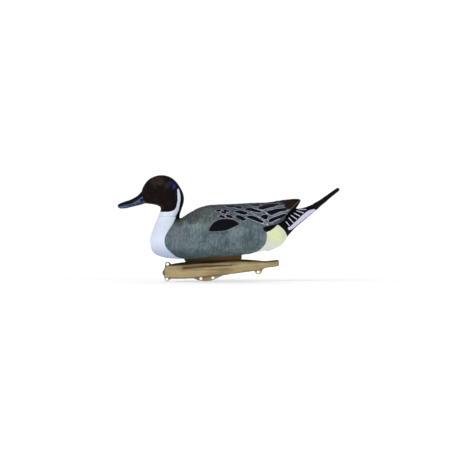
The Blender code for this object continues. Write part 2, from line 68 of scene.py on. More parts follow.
WALL = 1.8
GAP = 0.3
NECK_X = -94.5
SEAM_Z = 64.5
SEAM = 0.12  # how far the head's edge stands off the body's
SPARE = 2.5  # how far the breast and the head run past the seam before they are cut off
STUB_R = 15.2  # the head's stub, which turns in the body's neck
STUB_BORE_R = 12.2
PAD_X = (-62.5, 54.3)  # the pad under the hull that the keel is screwed to
PAD_HALF = 10
PAD_ROOT_Z = -5
PAD_MID_Z = -25.0
PAD_SLOPE = 0.052
SCREW_X = (-54.0, 33.0)
SEAT_DEPTH = 12.0  # of the screw heads' seats, below the pad
COUNTERBORE_R = 4.6
WEB_HALF_THICK = 1.7
LINE_EYE_R = 3.0
TAIL_RISE = math.radians(30)
TAIL_AXIS = np.array([math.cos(TAIL_RISE), 0, math.sin(TAIL_RISE)])
TAIL_AT = np.array([202.5, 0, 84])
TAIL_PLUG_R = 3.6
EYE_AT = (-120.5, 123.0)
EYE_Y = 19.8
EYE_R = 4.2
EYE_STEM_R = 3.0
VENT_X = 110.0
VENT_R = 4.0

# Sizes of the small quads that each skin is made of
BODY_CELL = 1.32
HEAD_CELL = 0.8
TAIL_CELL = 0.5
KEEL_CELL = 0.85

# Sections. How full a section is: 2 is an ellipse, and more is squarer. A pair is for above and below its
# widest line.

HULL_POWER = (2.15, 2.5)
BREAST_POWER = 2.0
HEAD_POWER = 2.1
BILL_POWER = (1.8, 2.2)
WINGS_POWER = 2.1
TAIL_POWER = (1.7, 1.6)
SPRIG_POWER = (2.0, 2.0)
KEEL_POWER = (2.8, 2.8)
HULL = [
    (-132.6, 19, 13.5, 3, 16.3),
    (-130.4, 28, -1.5, 16, 15.5),
    (-126, 34, -9.2, 25.5, 15),
    (-119, 39, -14.4, 35.5, 15),
    (-108, 45, -18.5, 46, 16),
    (-92, 52, -21.2, 56.5, 18),
    (-72, 60, -22.2, 65.5, 20),
    (-51, 72.8, -21.6, 71, 22),
    (-31, 83, -20.2, 74, 24),
    (-10, 88.2, -18.6, 75.5, 25),
    (20, 89.2, -16.3, 75, 26),
    (51, 90, -13.8, 70.5, 27),
    (72, 88.5, -11.1, 64.5, 28),
    (96, 84, -6.2, 55.5, 29),
    (117, 76.5, -2.9, 46, 31),
    (135, 66, 6.2, 34, 34),
    (145, 56, 17.5, 24, 37),
    (150, 47, 27, 14, 38),
]
BREAST = [
    (-13, -119, -70, 30, -92),
    (-8, -126.2, -62, 39, -92),
    (-2, -130, -55, 46, -90),
    (6, -131.9, -48, 51, -88),
    (16.4, -132.7, -46, 52.5, -88),
    (27, -130.9, -49, 49, -88),
    (37, -127.8, -55, 42, -90),
    (47, -124.1, -62, 33.5, -92),
    (56, -120.2, -70, 26, -94),
    (61, -117.9, -72.2, 23, -94.5),
    (64.5, -116.5, -72.5, 22, -94.5),
]
HEAD = [
    (64.8, -116.5, -72.5, 22, -94.5),
    (70, -114.3, -71.8, 21.4, -93),
    (76, -111.9, -69.8, 20.4, -92),
    (81, -111.3, -68.2, 20, -93),
    (84.5, -113, -66.9, 20, -95),
    (87.5, -119, -65.8, 20.2, -100),
    (89.6, -128, -65.2, 20.4, -104),
    (91.3, -138.5, -64.8, 20.6, -106),
    (96.5, -145.6, -63.8, 21, -107),
    (102.5, -148.8, -63.6, 21.4, -108),
    (110.5, -150.4, -65, 21.6, -109),
    (118, -149.7, -67.9, 21.4, -109),
    (125, -147.2, -71.8, 20.6, -109),
    (132.2, -143.1, -76.5, 18.8, -109),
    (137.4, -139, -81, 16.6, -109),
    (142.5, -132.8, -86.9, 13.2, -110),
    (146.6, -124.4, -94.3, 8.8, -110),
    (149.2, -115.5, -103.8, 3.6, -110),
]
BILL = [
    (-198.9, 87.9, 84.4, 4.2, 85.8),
    (-196.8, 89.6, 82.4, 7.6, 85.2),
    (-191.7, 92.3, 80.9, 9.9, 85),
    (-184.5, 95.1, 81, 10.3, 85.6),
    (-174.3, 98.4, 83.2, 9.5, 87.6),
    (-166, 102.5, 85.1, 9, 90),
    (-158, 107.6, 87.1, 9.3, 93),
    (-152, 113.5, 88.6, 10.2, 96),
    (-143, 120, 91.5, 12, 99),
    (-130, 118, 95, 10, 102),
]
WINGS = [
    (38, 89.5, 58, 52),
    (70, 91.7, 47, 60),
    (96, 92.6, 41, 56.5),
    (113, 93.7, 46, 49),
    (133, 97.4, 58.5, 38),
    (150, 99.7, 70.5, 26.5),
    (163, 100.8, 78.5, 16),
    (170, 100.8, 87, 9.5),
    (175.3, 99, 95.5, 3),
]
TAIL = [
    (112, 70, 8, 36, 38),
    (140, 76, 15.5, 33, 46),
    (149.5, 78, 25, 30, 52),
    (164, 80.4, 41, 25, 60),
    (174.5, 81.2, 50.2, 20.5, 65),
    (184.5, 83.6, 58.6, 16, 70),
    (195, 87.4, 67.6, 11.4, 77),
    (209, 94.5, 78.6, 7, 86),
]
SPRIG = [
    (196, 88, 69, 9, 78),
    (209, 94.8, 79, 7, 86.5),
    (217, 99.6, 86.6, 6, 93),
    (226, 105.9, 93.8, 5.2, 99.8),
    (236, 113, 102.7, 4.6, 107.9),
    (246, 119.9, 110.8, 4.1, 115.4),
    (251, 122.9, 114.9, 3.5, 119),
    (254.6, 122, 118, 1.8, 120),
]
KEEL = [
    (-107.6, -48.5, -53.5, 3, -51),
    (-105.5, -41.5, -58.5, 7.2, -50.5),
    (-101, -36.5, -61.8, 10, -50.5),
    (-92, -33.6, -63, 12.2, -50.5),
    (-72, -30.1, -63.1, 13.6, -50),
    (-51, -27.9, -62.7, 14, -49),
    (-31, -26.2, -61.1, 14, -47.5),
    (-10, -24.8, -59, 13.5, -45.5),
    (10, -23.8, -56.6, 12.6, -43),
    (31, -23.2, -53.9, 11.5, -41),
    (51, -23.2, -50.8, 10.3, -39),
    (72, -24.2, -48.2, 9, -37.5),
    (88, -25.4, -46.1, 8.1, -36.5),
    (98.5, -26.6, -43.2, 7.3, -35.5),
    (105, -26.6, -40.6, 6.8, -34),
    (117, -25.4, -39.2, 6.5, -32.3),
    (130, -24.3, -37.1, 6.3, -30.7),
]
WEBS = [
    [(-103, -42), (-102.3, -31.5), (-99.5, -28.6), (-95.5, -28.4), (-92, -30.4), (-86, -40)],
    [(-104.5, -55), (-102.6, -66), (-100, -68.3), (-97, -68.3), (-94.4, -66.2), (-86, -60)],
    [(-48, -60), (-34, -66.4), (-20, -68.1), (-8, -67.2), (6, -61.4), (22, -52)],
    [(78.5, -42), (83, -51), (86.5, -53.7), (90.5, -53.9), (94.5, -51.8), (99, -41)],
]
LINE_EYES = [(-97.3, -33.2), (-98.7, -63.9), (-28.8, -62.9), (-4.2, -61.2), (88.6, -49.4)]

# Forms


class Table:
    """Sections along one way. Their columns are read at any place, on a cubic that never overshoots."""

    def __init__(self, stations, power):
        self.power = power
        self.at = np.array([s[0] for s in stations], float)
        self.value = np.array([s[1:] for s in stations], float)
        step = np.diff(self.at)[:, None]
        slope = np.diff(self.value, axis=0) / step
        before, after = 2 * step[1:] + step[:-1], step[1:] + 2 * step[:-1]
        same_way = slope[:-1] * slope[1:] > 0
        safe = [np.where(same_way, s, 1.0) for s in (slope[:-1], slope[1:])]
        middle = np.where(same_way, (before + after) / (before / safe[0] + after / safe[1]), 0)
        self.tangent = np.vstack([slope[:1], middle, slope[-1:]])
        self.step = step

    def __call__(self, place):
        place = np.clip(place, self.at[0], self.at[-1])
        i = np.clip(np.searchsorted(self.at, place) - 1, 0, len(self.at) - 2)
        h = self.step[i]
        t = (place - self.at[i])[:, None] / h
        read = self.value[i] * (1 + 2 * t) * (1 - t) ** 2 + h * self.tangent[i] * t * (1 - t) ** 2
        read = read + self.value[i + 1] * t * t * (3 - 2 * t) + h * self.tangent[i + 1] * t * t * (t - 1)
        return read.T

    def beyond(self, place):
        """How far a place is past the nearer end."""
        return np.maximum(self.at[0] - place, place - self.at[-1])


def radial(reach, share):
    """Signed distance along a ray from a section's middle: a point's reach, and its share of the way out."""
    share = np.maximum(share, 1e-4)
    return reach * (1 - 1 / share)


def turned_power(angle, power):
    """A superellipse's unit point at each angle."""
    c, s = np.cos(angle), np.sin(angle)
    return np.sign(c) * np.abs(c) ** (2 / power), np.sign(s) * np.abs(s) ** (2 / power)


class Upright(Table):
    """A form of sections across X: top, bottom, half the width, and the height of the widest line."""

    def section(self, x):
        """The columns, with the widest line kept at least 0.4 inside the section."""
        top, bottom, half, wide = self(x)
        return top, bottom, half, np.clip(wide, bottom + 0.4, top - 0.4)

    def field(self, p):
        x, y, z = p
        top, bottom, half, wide = self.section(x)
        above = z > wide
        across = np.abs(y / half)
        up = np.abs((z - wide) / np.where(above, top - wide, wide - bottom))
        n = np.where(above, *self.power)
        share = (across**n + up**n) ** (1 / n)
        return np.maximum(radial(np.hypot(y, z - wide), share), self.beyond(x))

    def ring(self, x, angle):
        top, bottom, half, wide = (v[:, None] for v in self.section(x))
        c, s = turned_power(angle, np.where(np.sin(angle) > 0, *self.power))
        return x[:, None] + 0 * c, half * c, wide + s * np.where(s > 0, top - wide, wide - bottom)


class Level(Table):
    """A form of sections across Z: front, back, half the width, and where along X the section is widest."""

    def field(self, p):
        x, y, z = p
        front, back, half, wide = self(z)
        along = np.abs((x - wide) / np.where(x > wide, back - wide, wide - front))
        share = (along**self.power + np.abs(y / half) ** self.power) ** (1 / self.power)
        return np.maximum(radial(np.hypot(x - wide, y), share), self.beyond(z))

    def ring(self, z, angle):
        front, back, half, wide = self(z)[:, :, None]
        c, s = turned_power(angle, self.power)
        return wide + c * np.where(c > 0, back - wide, wide - front), half * s, z[:, None] + 0 * s


class Dome(Table):
    """A form of sections across X that are flat underneath: top, lower edge and half the width."""

    def field(self, p):
        x, y, z = p
        top, lower, half = self(x)
        up = np.maximum((z - lower) / np.maximum(top - lower, 0.6), 0)
        share = (np.abs(y / half) ** self.power + up**self.power) ** (1 / self.power)
        shell = radial(np.hypot(y, np.maximum(z - lower, 0)), share)
        return np.maximum(np.maximum(shell, lower - z), self.beyond(x))

    def ring(self, x, angle):
        top, lower, half = self(x)[:, :, None]
        c, s = turned_power(angle, self.power)
        return x[:, None] + 0 * c, half * c, lower + np.maximum(s, 0) * np.maximum(top - lower, 0.6)


def join(a, b, soft):
    """Union of two fields, with a fillet about as wide as soft."""
    h = np.clip(0.5 + 0.5 * (b - a) / soft, 0, 1)
    return b + (a - b) * h - soft * h * (1 - h)


def cut(a, b, soft):
    """What is inside both fields, with a rounded edge."""
    return -join(-a, -b, soft)


def pad_z(x):
    """Height of the pad's face, which the keel is screwed to."""
    return PAD_MID_Z + PAD_SLOPE * (x - sum(PAD_X) / 2)


def along_tail(p):
    """Distance past the tail's joint face, and height above the insert's axis."""
    x, z = p[0] - TAIL_AT[0], p[2] - TAIL_AT[2]
    cos, _, sin = TAIL_AXIS
    return x * cos + z * sin, z * cos - x * sin


def box_field(p, low, high):
    return np.max([np.maximum(a - v, v - b) for v, a, b in zip(p, low, high)], axis=0)


hull, bill, tail = Upright(HULL, HULL_POWER), Upright(BILL, BILL_POWER), Upright(TAIL, TAIL_POWER)
sprig, keel_form, wings = Upright(SPRIG, SPRIG_POWER), Upright(KEEL, KEEL_POWER), Dome(WINGS, WINGS_POWER)
breast = Level(BREAST + [(SEAM_Z + SPARE, *BREAST[-1][1:])], BREAST_POWER)
head_form = Level([(SEAM_Z - SPARE, *HEAD[0][1:])] + HEAD, HEAD_POWER)


def trunk_field(p):
    """The body without its tail and pad."""
    trunk = join(hull.field(p), breast.field(p), soft=3.0)
    return join(trunk, wings.field(p), soft=1.2)


def body_field(p):
    fan = np.maximum(tail.field(p), along_tail(p)[0])
    body = join(trunk_field(p), fan, soft=2.0)
    pad = box_field(p, (PAD_X[0], -PAD_HALF, -40), (PAD_X[1], PAD_HALF, PAD_ROOT_Z))
    return join(body, cut(pad, pad_z(p[0]) - p[2], soft=1.0), soft=2.5)


def head_field(p):
    return join(head_form.field(p), bill.field(p), soft=3.0)


def sprig_field(p):
    past, up = along_tail(p)
    feathers = np.maximum(sprig.field(p), GAP - past)
    plug = np.maximum(np.hypot(p[1], up) - TAIL_PLUG_R, np.maximum(-15 - past, past - 4))
    return join(feathers, plug, soft=0.5)


def keel_field(p):
    """The keel's outer form with its webs, line eyes and screw counterbores."""
    x, y, z = p
    land = box_field(p, (PAD_X[0] + 1, -9, -38), (PAD_X[1] - 1, 9, -10))
    form = join(keel_form.field(p), land, soft=1.0)
    over = box_field(p, (PAD_X[0] - 4, -16, -40), (PAD_X[1] + 4, 16, -5))
    form = cut(form, -np.maximum(over, pad_z(x) - GAP - z), soft=0.8)
    for points in WEBS:
        web = cut(outline(points, x, z, smooth=False), np.abs(y) - WEB_HALF_THICK, soft=0.8)
        form = join(form, web, soft=1.6)
    for eye_x, eye_z in LINE_EYES:
        form = cut(form, LINE_EYE_R - np.hypot(x - eye_x, z - eye_z), soft=0.7)
    for screw_x in SCREW_X:
        well = np.maximum(np.hypot(x - screw_x, y) - COUNTERBORE_R, z - pad_z(screw_x) + SEAT_DEPTH)
        form = cut(form, -well, soft=0.5)
    return form


# Outlines, and the chart that unrolls the body's back


def softened(points, closed=True, steps=5):
    """A Catmull-Rom curve through an outline's points."""
    points = np.array(points, float)
    count = len(points)
    curve = []
    for i in range(count if closed else count - 1):
        window = np.arange(i - 1, i + 3)
        a, b, c, d = points[window % count if closed else np.clip(window, 0, count - 1)]
        square, cube = 2 * a - 5 * b + 4 * c - d, 3 * (b - c) + d - a
        for t in np.arange(steps) / steps:
            curve.append(0.5 * (2 * b + (c - a) * t + square * t**2 + cube * t**3))
    if not closed:
        curve.append(points[-1])
    return np.array(curve)


def stroke(points, u, v, smooth=True):
    """Distance from an open line."""
    points = softened(points, False) if smooth else np.array(points, float)
    best = np.full(u.shape, 99.0)
    for (au, av), (bu, bv) in zip(points, points[1:]):
        du, dv = bu - au, bv - av
        t = np.clip(((u - au) * du + (v - av) * dv) / (du * du + dv * dv), 0, 1)
        best = np.minimum(best, np.hypot(u - au - t * du, v - av - t * dv))
    return best


def outline(points, u, v, smooth=True):
    """Signed distance from a closed outline, negative inside. Far points read FAR."""
    points = softened(points) if smooth else np.array(points, float)
    low, high = points.min(0) - FAR, points.max(0) + FAR
    near_by = (u > low[0]) & (u < high[0]) & (v > low[1]) & (v < high[1])
    found = np.full(u.shape, float(FAR))
    nu, nv = u[near_by], v[near_by]
    ring = np.vstack([points, points[:1]])
    inside = np.zeros(nu.shape, bool)
    for (au, av), (bu, bv) in zip(ring, ring[1:]):
        crosses = (av > nv) != (bv > nv)
        inside ^= crosses & (nu < au + (nv - av) * (bu - au) / np.where(bv == av, 1e-9, bv - av))
    edge = stroke(ring, nu, nv, smooth=False)
    found[near_by] = np.minimum(np.where(inside, -edge, edge), FAR)
    return found


def least(fields):
    return np.minimum.reduce(list(fields))


def ease(value, low, high):
    """0 below low, 1 above high, and smooth between them."""
    t = np.clip((value - low) / (high - low), 0, 1)
    return t * t * (3 - 2 * t)


def bell(value, width):
    """1 where value is 0, and fading to 0 on both sides."""
    return np.exp(-((value / width) ** 2))


def spots(u, v, places):
    """Soft spots: 1, or the most that is given, in the middle of each, and 0 past its ellipse's edge."""
    found = []
    for (middle_u, middle_v), (reach_u, reach_v), *most in places:
        away = np.hypot((u - middle_u) / reach_u, (v - middle_v) / reach_v)
        found.append((1 - ease(away, 0.35, 1.0)) * (most[0] if most else 1))
    return np.maximum.reduce(found)


class Chart:
    """Unrolls the trunk: s is the distance along a section, from the middle of the back down the side."""

    CENTRE = [
        (-133, 16), (-100, 18), (0, 30), (96, 42), (120, 50), (135, 58), (150, 76), (163, 86), (176, 97.2),
    ]
    TURNS = 110
    STEP = 2.0
    REACH_STEP = 2.5

    def __init__(self):
        self.x = np.arange(-132.0, 176.0, self.STEP)
        angle = np.linspace(math.pi / 2, -math.pi / 2, self.TURNS)
        x, angle = np.meshgrid(self.x, angle, indexing="ij")
        shape = x.shape
        x, angle = x.ravel(), angle.ravel()
        centre = self.centre(x)

        def solid(reach):
            return trunk_field((x, reach * np.cos(angle), centre + reach * np.sin(angle))) < 0

        inner = np.zeros(x.shape)
        for reach in np.arange(2.0, 100.0, self.REACH_STEP):
            inner = np.where(solid(reach), reach, inner)
        outer = inner + self.REACH_STEP
        for _ in range(8):
            middle = (inner + outer) / 2
            filled = solid(middle)
            inner, outer = np.where(filled, middle, inner), np.where(filled, outer, middle)
        across = (inner * np.cos(angle)).reshape(shape)
        self.z = (centre + inner * np.sin(angle)).reshape(shape)
        steps = np.hypot(np.diff(across, axis=1), np.diff(self.z, axis=1))
        self.s = np.hstack([np.zeros((shape[0], 1)), np.cumsum(steps, axis=1)])

    def centre(self, x):
        return np.interp(x, *zip(*self.CENTRE))

    def round_of(self, x, y, z):
        """s of points on the skin."""
        turn = (math.pi / 2 - np.arctan2(z - self.centre(x), np.abs(y))) / math.pi * (self.TURNS - 1)
        place = np.clip((x - self.x[0]) / self.STEP, 0, len(self.x) - 1.001)
        i, j = place.astype(int), np.clip(turn, 0, self.TURNS - 1.001).astype(int)
        a, b = place - i, turn - j
        upper = self.s[i, j] * (1 - a) + self.s[i + 1, j] * a
        lower = self.s[i, j + 1] * (1 - a) + self.s[i + 1, j + 1] * a
        return upper * (1 - b) + lower * b

    def place(self, x, z):
        """(x, s) of a point that shows at (x, z) from the side."""
        i = int(np.clip(round((x - self.x[0]) / self.STEP), 0, len(self.x) - 1))
        return x, float(np.interp(-z, -self.z[i], self.s[i]))

    def places(self, points):
        return [self.place(x, z) for x, z in points]


# Meshes


def rings(form, along=150, around=90):
    """Vertices and faces of a closed skin through a form's sections, closer together at both ends."""
    share = np.linspace(0, 1, along)
    place = form.at[0] + (form.at[-1] - form.at[0]) * (1 - np.cos(math.pi * share)) / 2
    angle = np.linspace(0, 2 * math.pi, around, endpoint=False)[None, :]
    points = np.stack(form.ring(place, angle), axis=-1).reshape(-1, 3)
    corner = np.arange(along * around).reshape(along, around)
    a, b = corner[:-1], corner[1:]
    faces = np.stack([a, np.roll(a, -1, 1), np.roll(b, -1, 1), b], axis=-1).reshape(-1, 4).tolist()
    return points, faces + [corner[0][::-1].tolist(), corner[-1].tolist()]


def slab(low, high):
    """A plain box as vertices and faces."""
    corners = np.array(list(itertools.product(*zip(low, high))), float)
    return corners, [[0, 1, 3, 2], [4, 6, 7, 5], [0, 4, 5, 1], [2, 3, 7, 6], [0, 2, 6, 4], [1, 5, 7, 3]]


def bar(radius, start, end, sides=48):
    """A round bar between two points as vertices and faces."""
    start, end = np.array(start, float), np.array(end, float)
    turn = np.array(Vector(end - start).to_track_quat("Z", "Y").to_matrix())
    angle = np.linspace(0, 2 * math.pi, sides, endpoint=False) + math.pi / sides
    circle = np.stack([radius * np.cos(angle), radius * np.sin(angle), 0 * angle], -1) @ turn.T
    i = np.arange(sides)
    j = (i + 1) % sides
    faces = np.stack([i, j, j + sides, i + sides], -1).tolist()
    return np.vstack([circle + start, circle + end]), faces + [i[::-1].tolist(), (i + sides).tolist()]


def turned(profile, centre, axis, steps=64):
    """A turned solid as vertices and faces: radius and height pairs from the axis round to the axis."""
    turn = np.array(Vector(axis).to_track_quat("Z", "Y").to_matrix())
    angle = np.linspace(0, 2 * math.pi, steps, endpoint=False) + math.pi / steps
    points = [(0.0, 0.0, profile[0][1])]
    for r, h in profile[1:-1]:
        points += [(r * math.cos(a), r * math.sin(a), h) for a in angle]
    points.append((0.0, 0.0, profile[-1][1]))
    last = len(points) - 1
    end = last - steps
    ring = [(i, (i + 1) % steps) for i in range(steps)]
    faces = [[0, 1 + i, 1 + j] for i, j in ring]
    for a in range(1, end, steps):
        b = a + steps
        faces += [[a + i, b + i, b + j, a + j] for i, j in ring]
    faces += [[last, end + j, end + i] for i, j in ring]
    return np.array(points) @ turn.T + np.array(centre), faces


def together(parts):
    """Several skins as one list of vertices and one of faces."""
    points, faces, count = [], [], 0
    for p, f in parts:
        points.append(p)
        faces += [[count + i for i in face] for face in f]
        count += len(p)
    return np.vstack(points), faces


def new_object(name, points, faces):
    """A new object from millimetres."""
    mesh = bpy.data.meshes.new(name)
    mesh.from_pydata((np.asarray(points) * MM).tolist(), [], faces)
    mesh.update()
    obj = bpy.data.objects.new(name, mesh)
    bpy.context.scene.collection.objects.link(obj)
    return obj


def applied(obj):
    """The object with its modifiers made real."""
    bpy.context.view_layer.update()
    mesh = bpy.data.meshes.new_from_object(obj.evaluated_get(bpy.context.evaluated_depsgraph_get()))
    obj.modifiers.clear()
    obj.data = mesh
    return obj


def remeshed(obj, cell):
    """One closed skin of small quads round everything in the object."""
    cells = obj.modifiers.new("cells", "REMESH")
    cells.mode = "VOXEL"
    cells.voxel_size = cell * MM
    return applied(obj)


def points_of(mesh):
    flat = np.empty(len(mesh.vertices) * 3, np.float32)
    mesh.vertices.foreach_get("co", flat)
    return flat.reshape(-1, 3).astype(float) / MM


def slope_of(field, points, reach=0.25):
    """A field's gradient at each point."""
    parts = []
    for axis in range(3):
        step = np.zeros(3)
        step[axis] = reach
        parts.append((field((points + step).T) - field((points - step).T)) / (2 * reach))
    return np.stack(parts, -1)


def drawn(field, points, most):
    """Points one step nearer to a field's zero, each moved no further than most lets it."""
    slope = slope_of(field, points)
    size = np.maximum((slope**2).sum(1), 0.2)
    return points - slope * np.clip(field(points.T) / size, -most, most)[:, None]


def settle(obj, field, rounds=4, keep_within=1e9):
    """Draws a rough skin onto a field's zero and evens its points out. Points deeper than keep_within stay.

    Gives the points and their outward directions, which are 0 for those that stay.
    """
    mesh = obj.data
    points = points_of(mesh)
    edges = np.empty(len(mesh.edges) * 2, np.int32)
    mesh.edges.foreach_get("vertices", edges)
    a, b = edges.reshape(-1, 2).T
    count = len(points)
    degree = np.bincount(np.concatenate([a, b]), minlength=count).astype(float)[:, None]
    moves = (np.abs(field(points.T)) < keep_within)[:, None]

    def neighbours(column):
        return np.bincount(a, column[b], count) + np.bincount(b, column[a], count)

    for _ in range(rounds):
        total = np.stack([neighbours(column) for column in points.T], -1)
        evened = points + 0.5 * (total / degree - points)
        points = np.where(moves, drawn(field, evened, most=1.2), points)
    for _ in range(2):
        points = np.where(moves, drawn(field, points, most=0.8), points)
    slope = slope_of(field, points)
    normal = slope / np.maximum(np.linalg.norm(slope, axis=1), 1e-6)[:, None]
    return points, np.where(moves, normal, 0)


def raise_points(obj, points, normal, height):
    """Puts the object's points in place, each raised along its own direction."""
    points = points + normal * height[:, None]
    obj.data.vertices.foreach_set("co", (points * MM).astype(np.float32).ravel())
    obj.data.update()


def keep(obj, **values):
    """Keeps numbers at the mesh's points for its material to read."""
    for name, value in values.items():
        attribute = obj.data.attributes.new(name, "FLOAT", "POINT")
        attribute.data.foreach_set("value", np.asarray(value, np.float32))


def carve(obj, parts):
    """Takes shapes away from a mesh, all at once."""
    cutters = bpy.data.collections.new(f"{obj.name} cutters")
    for number, part in enumerate(parts):
        cutter = new_object(f"cutter_{number}", *part)
        bpy.context.scene.collection.objects.unlink(cutter)
        cutters.objects.link(cutter)
    boolean = obj.modifiers.new("carve", "BOOLEAN")
    boolean.operation = "DIFFERENCE"
    boolean.operand_type = "COLLECTION"
    boolean.collection = cutters
    applied(obj)
    for cutter in list(cutters.objects):
        bpy.data.objects.remove(cutter)
    bpy.data.collections.remove(cutters)


def paint(obj, material):
    obj.data.materials.clear()
    obj.data.materials.append(material)


def finish_piece(obj, body, material, node):
    """Shades, paints and hangs a piece on its body, in place of the CAD node it stands for."""
    paint(obj, material)
    obj.data.shade_smooth()
    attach(obj, body)
    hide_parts(node)


# Materials. Colours are everyday values, 0 to 255


def srgb(red, green, blue):
    """A colour as the shader takes it."""
    parts = [((v / 255 + 0.055) / 1.055) ** 2.4 if v > 10 else v / 255 / 12.92 for v in (red, green, blue)]
    return (*parts, 1)


class Paint:
    """A material whose nodes are added one step at a time. Shares run from 0 to 1."""

    def __init__(self, name, roughness=0.6, metallic=0.0, gloss=0.5):
        self.material = bpy.data.materials.new(name)
        self.material.use_nodes = True
        self.tree = self.material.node_tree
        self.shader = self.tree.nodes["Principled BSDF"]
        self.shader.inputs["Roughness"].default_value = roughness
        self.shader.inputs["Metallic"].default_value = metallic
        self.shader.inputs["Specular IOR Level"].default_value = gloss
        self.place = self.add("ShaderNodeTexCoord").outputs["Object"]

    def add(self, kind, inputs=(), **settings):
        """A new node with its first inputs fed, in their order."""
        node = self.tree.nodes.new(kind)
        for key, value in settings.items():
            setattr(node, key, value)
        for socket, value in zip(node.inputs, inputs):
            self.feed(socket, value)
        return node

    def feed(self, socket, value):
        if isinstance(value, bpy.types.NodeSocket):
            self.tree.links.new(value, socket)
        else:
            socket.default_value = value

    def read(self, name):
        return self.add("ShaderNodeAttribute", attribute_name=name).outputs["Fac"]

    def maths(self, operation, *values):
        return self.add("ShaderNodeMath", values, operation=operation).outputs[0]

    def times(self, first, second):
        return self.maths("MULTIPLY", first, second)

    def span(self, value, low, high, start=0.0, end=1.0):
        """A smooth way from start at low to end at high."""
        inputs = (value, low, high, start, end)
        return self.add("ShaderNodeMapRange", inputs, interpolation_type="SMOOTHSTEP").outputs[0]

    def inside(self, name, edge=0.25):
        """1 inside an outline and 0 outside it."""
        return self.span(self.read(name), -edge, edge, 1.0, 0.0)

    def ragged(self, name, noise, depth, edge):
        """1 inside an outline whose edge wanders with a noise, and 0 outside it."""
        wandering = self.maths("MULTIPLY_ADD", noise, depth, self.maths("ADD", self.read(name), -depth / 2))
        return self.span(wandering, -edge, edge, 1.0, 0.0)

    def mix(self, share, under, over):
        node = self.add("ShaderNodeMix", data_type="RGBA")
        self.feed(node.inputs["Factor"], share)
        for name, colour in (("A", under), ("B", over)):
            self.feed(node.inputs[name], srgb(*colour) if isinstance(colour, tuple) else colour)
        return node.outputs["Result"]

    def coats(self, colour, *coats):
        """A colour with coats over it. Each has its share, its colour and, if not 1, the most it covers."""
        for share, coat, *most in coats:
            colour = self.mix(self.times(share, *most) if most else share, colour, coat)
        return colour

    def noise(self, scale, detail=3.0, rough=0.55, place=None, turn=(0, 0, 0)):
        """Noise of one scale, or of one for each axis."""
        place = place or self.place
        if isinstance(scale, tuple):
            mapping = self.add("ShaderNodeMapping")
            self.feed(mapping.inputs["Vector"], place)
            mapping.inputs["Scale"].default_value = scale
            mapping.inputs["Rotation"].default_value = turn
            place, scale = mapping.outputs["Vector"], 1.0
        node = self.add("ShaderNodeTexNoise")
        for name, value in (("Vector", place), ("Scale", scale), ("Detail", detail), ("Roughness", rough)):
            self.feed(node.inputs[name], value)
        return node.outputs["Fac"]

    def bump(self, height, millimetres):
        node = self.add("ShaderNodeBump")
        self.feed(node.inputs["Height"], height)
        node.inputs["Distance"].default_value = millimetres * MM
        node.inputs["Strength"].default_value = 1.0
        if self.shader.inputs["Normal"].is_linked:
            self.tree.links.new(self.shader.inputs["Normal"].links[0].from_socket, node.inputs["Normal"])
        self.tree.links.new(node.outputs["Normal"], self.shader.inputs["Normal"])

    def done(self, colour, roughness=None):
        self.feed(self.shader.inputs["Base Color"], colour)
        if roughness is not None:
            self.feed(self.shader.inputs["Roughness"], roughness)
        return self.material

    def axis(self, name):
        """A coordinate in millimetres."""
        return self.times(self.add("ShaderNodeSeparateXYZ", [self.place]).outputs[name], 1000.0)

    def lines(self, across, spacing, warp, amount):
        """Fine wavy lines, one for each spacing across."""
        phase = self.maths("MULTIPLY_ADD", warp, amount, self.times(across, math.tau / spacing))
        return self.maths("MULTIPLY_ADD", self.maths("SINE", phase), 0.5, 0.5)


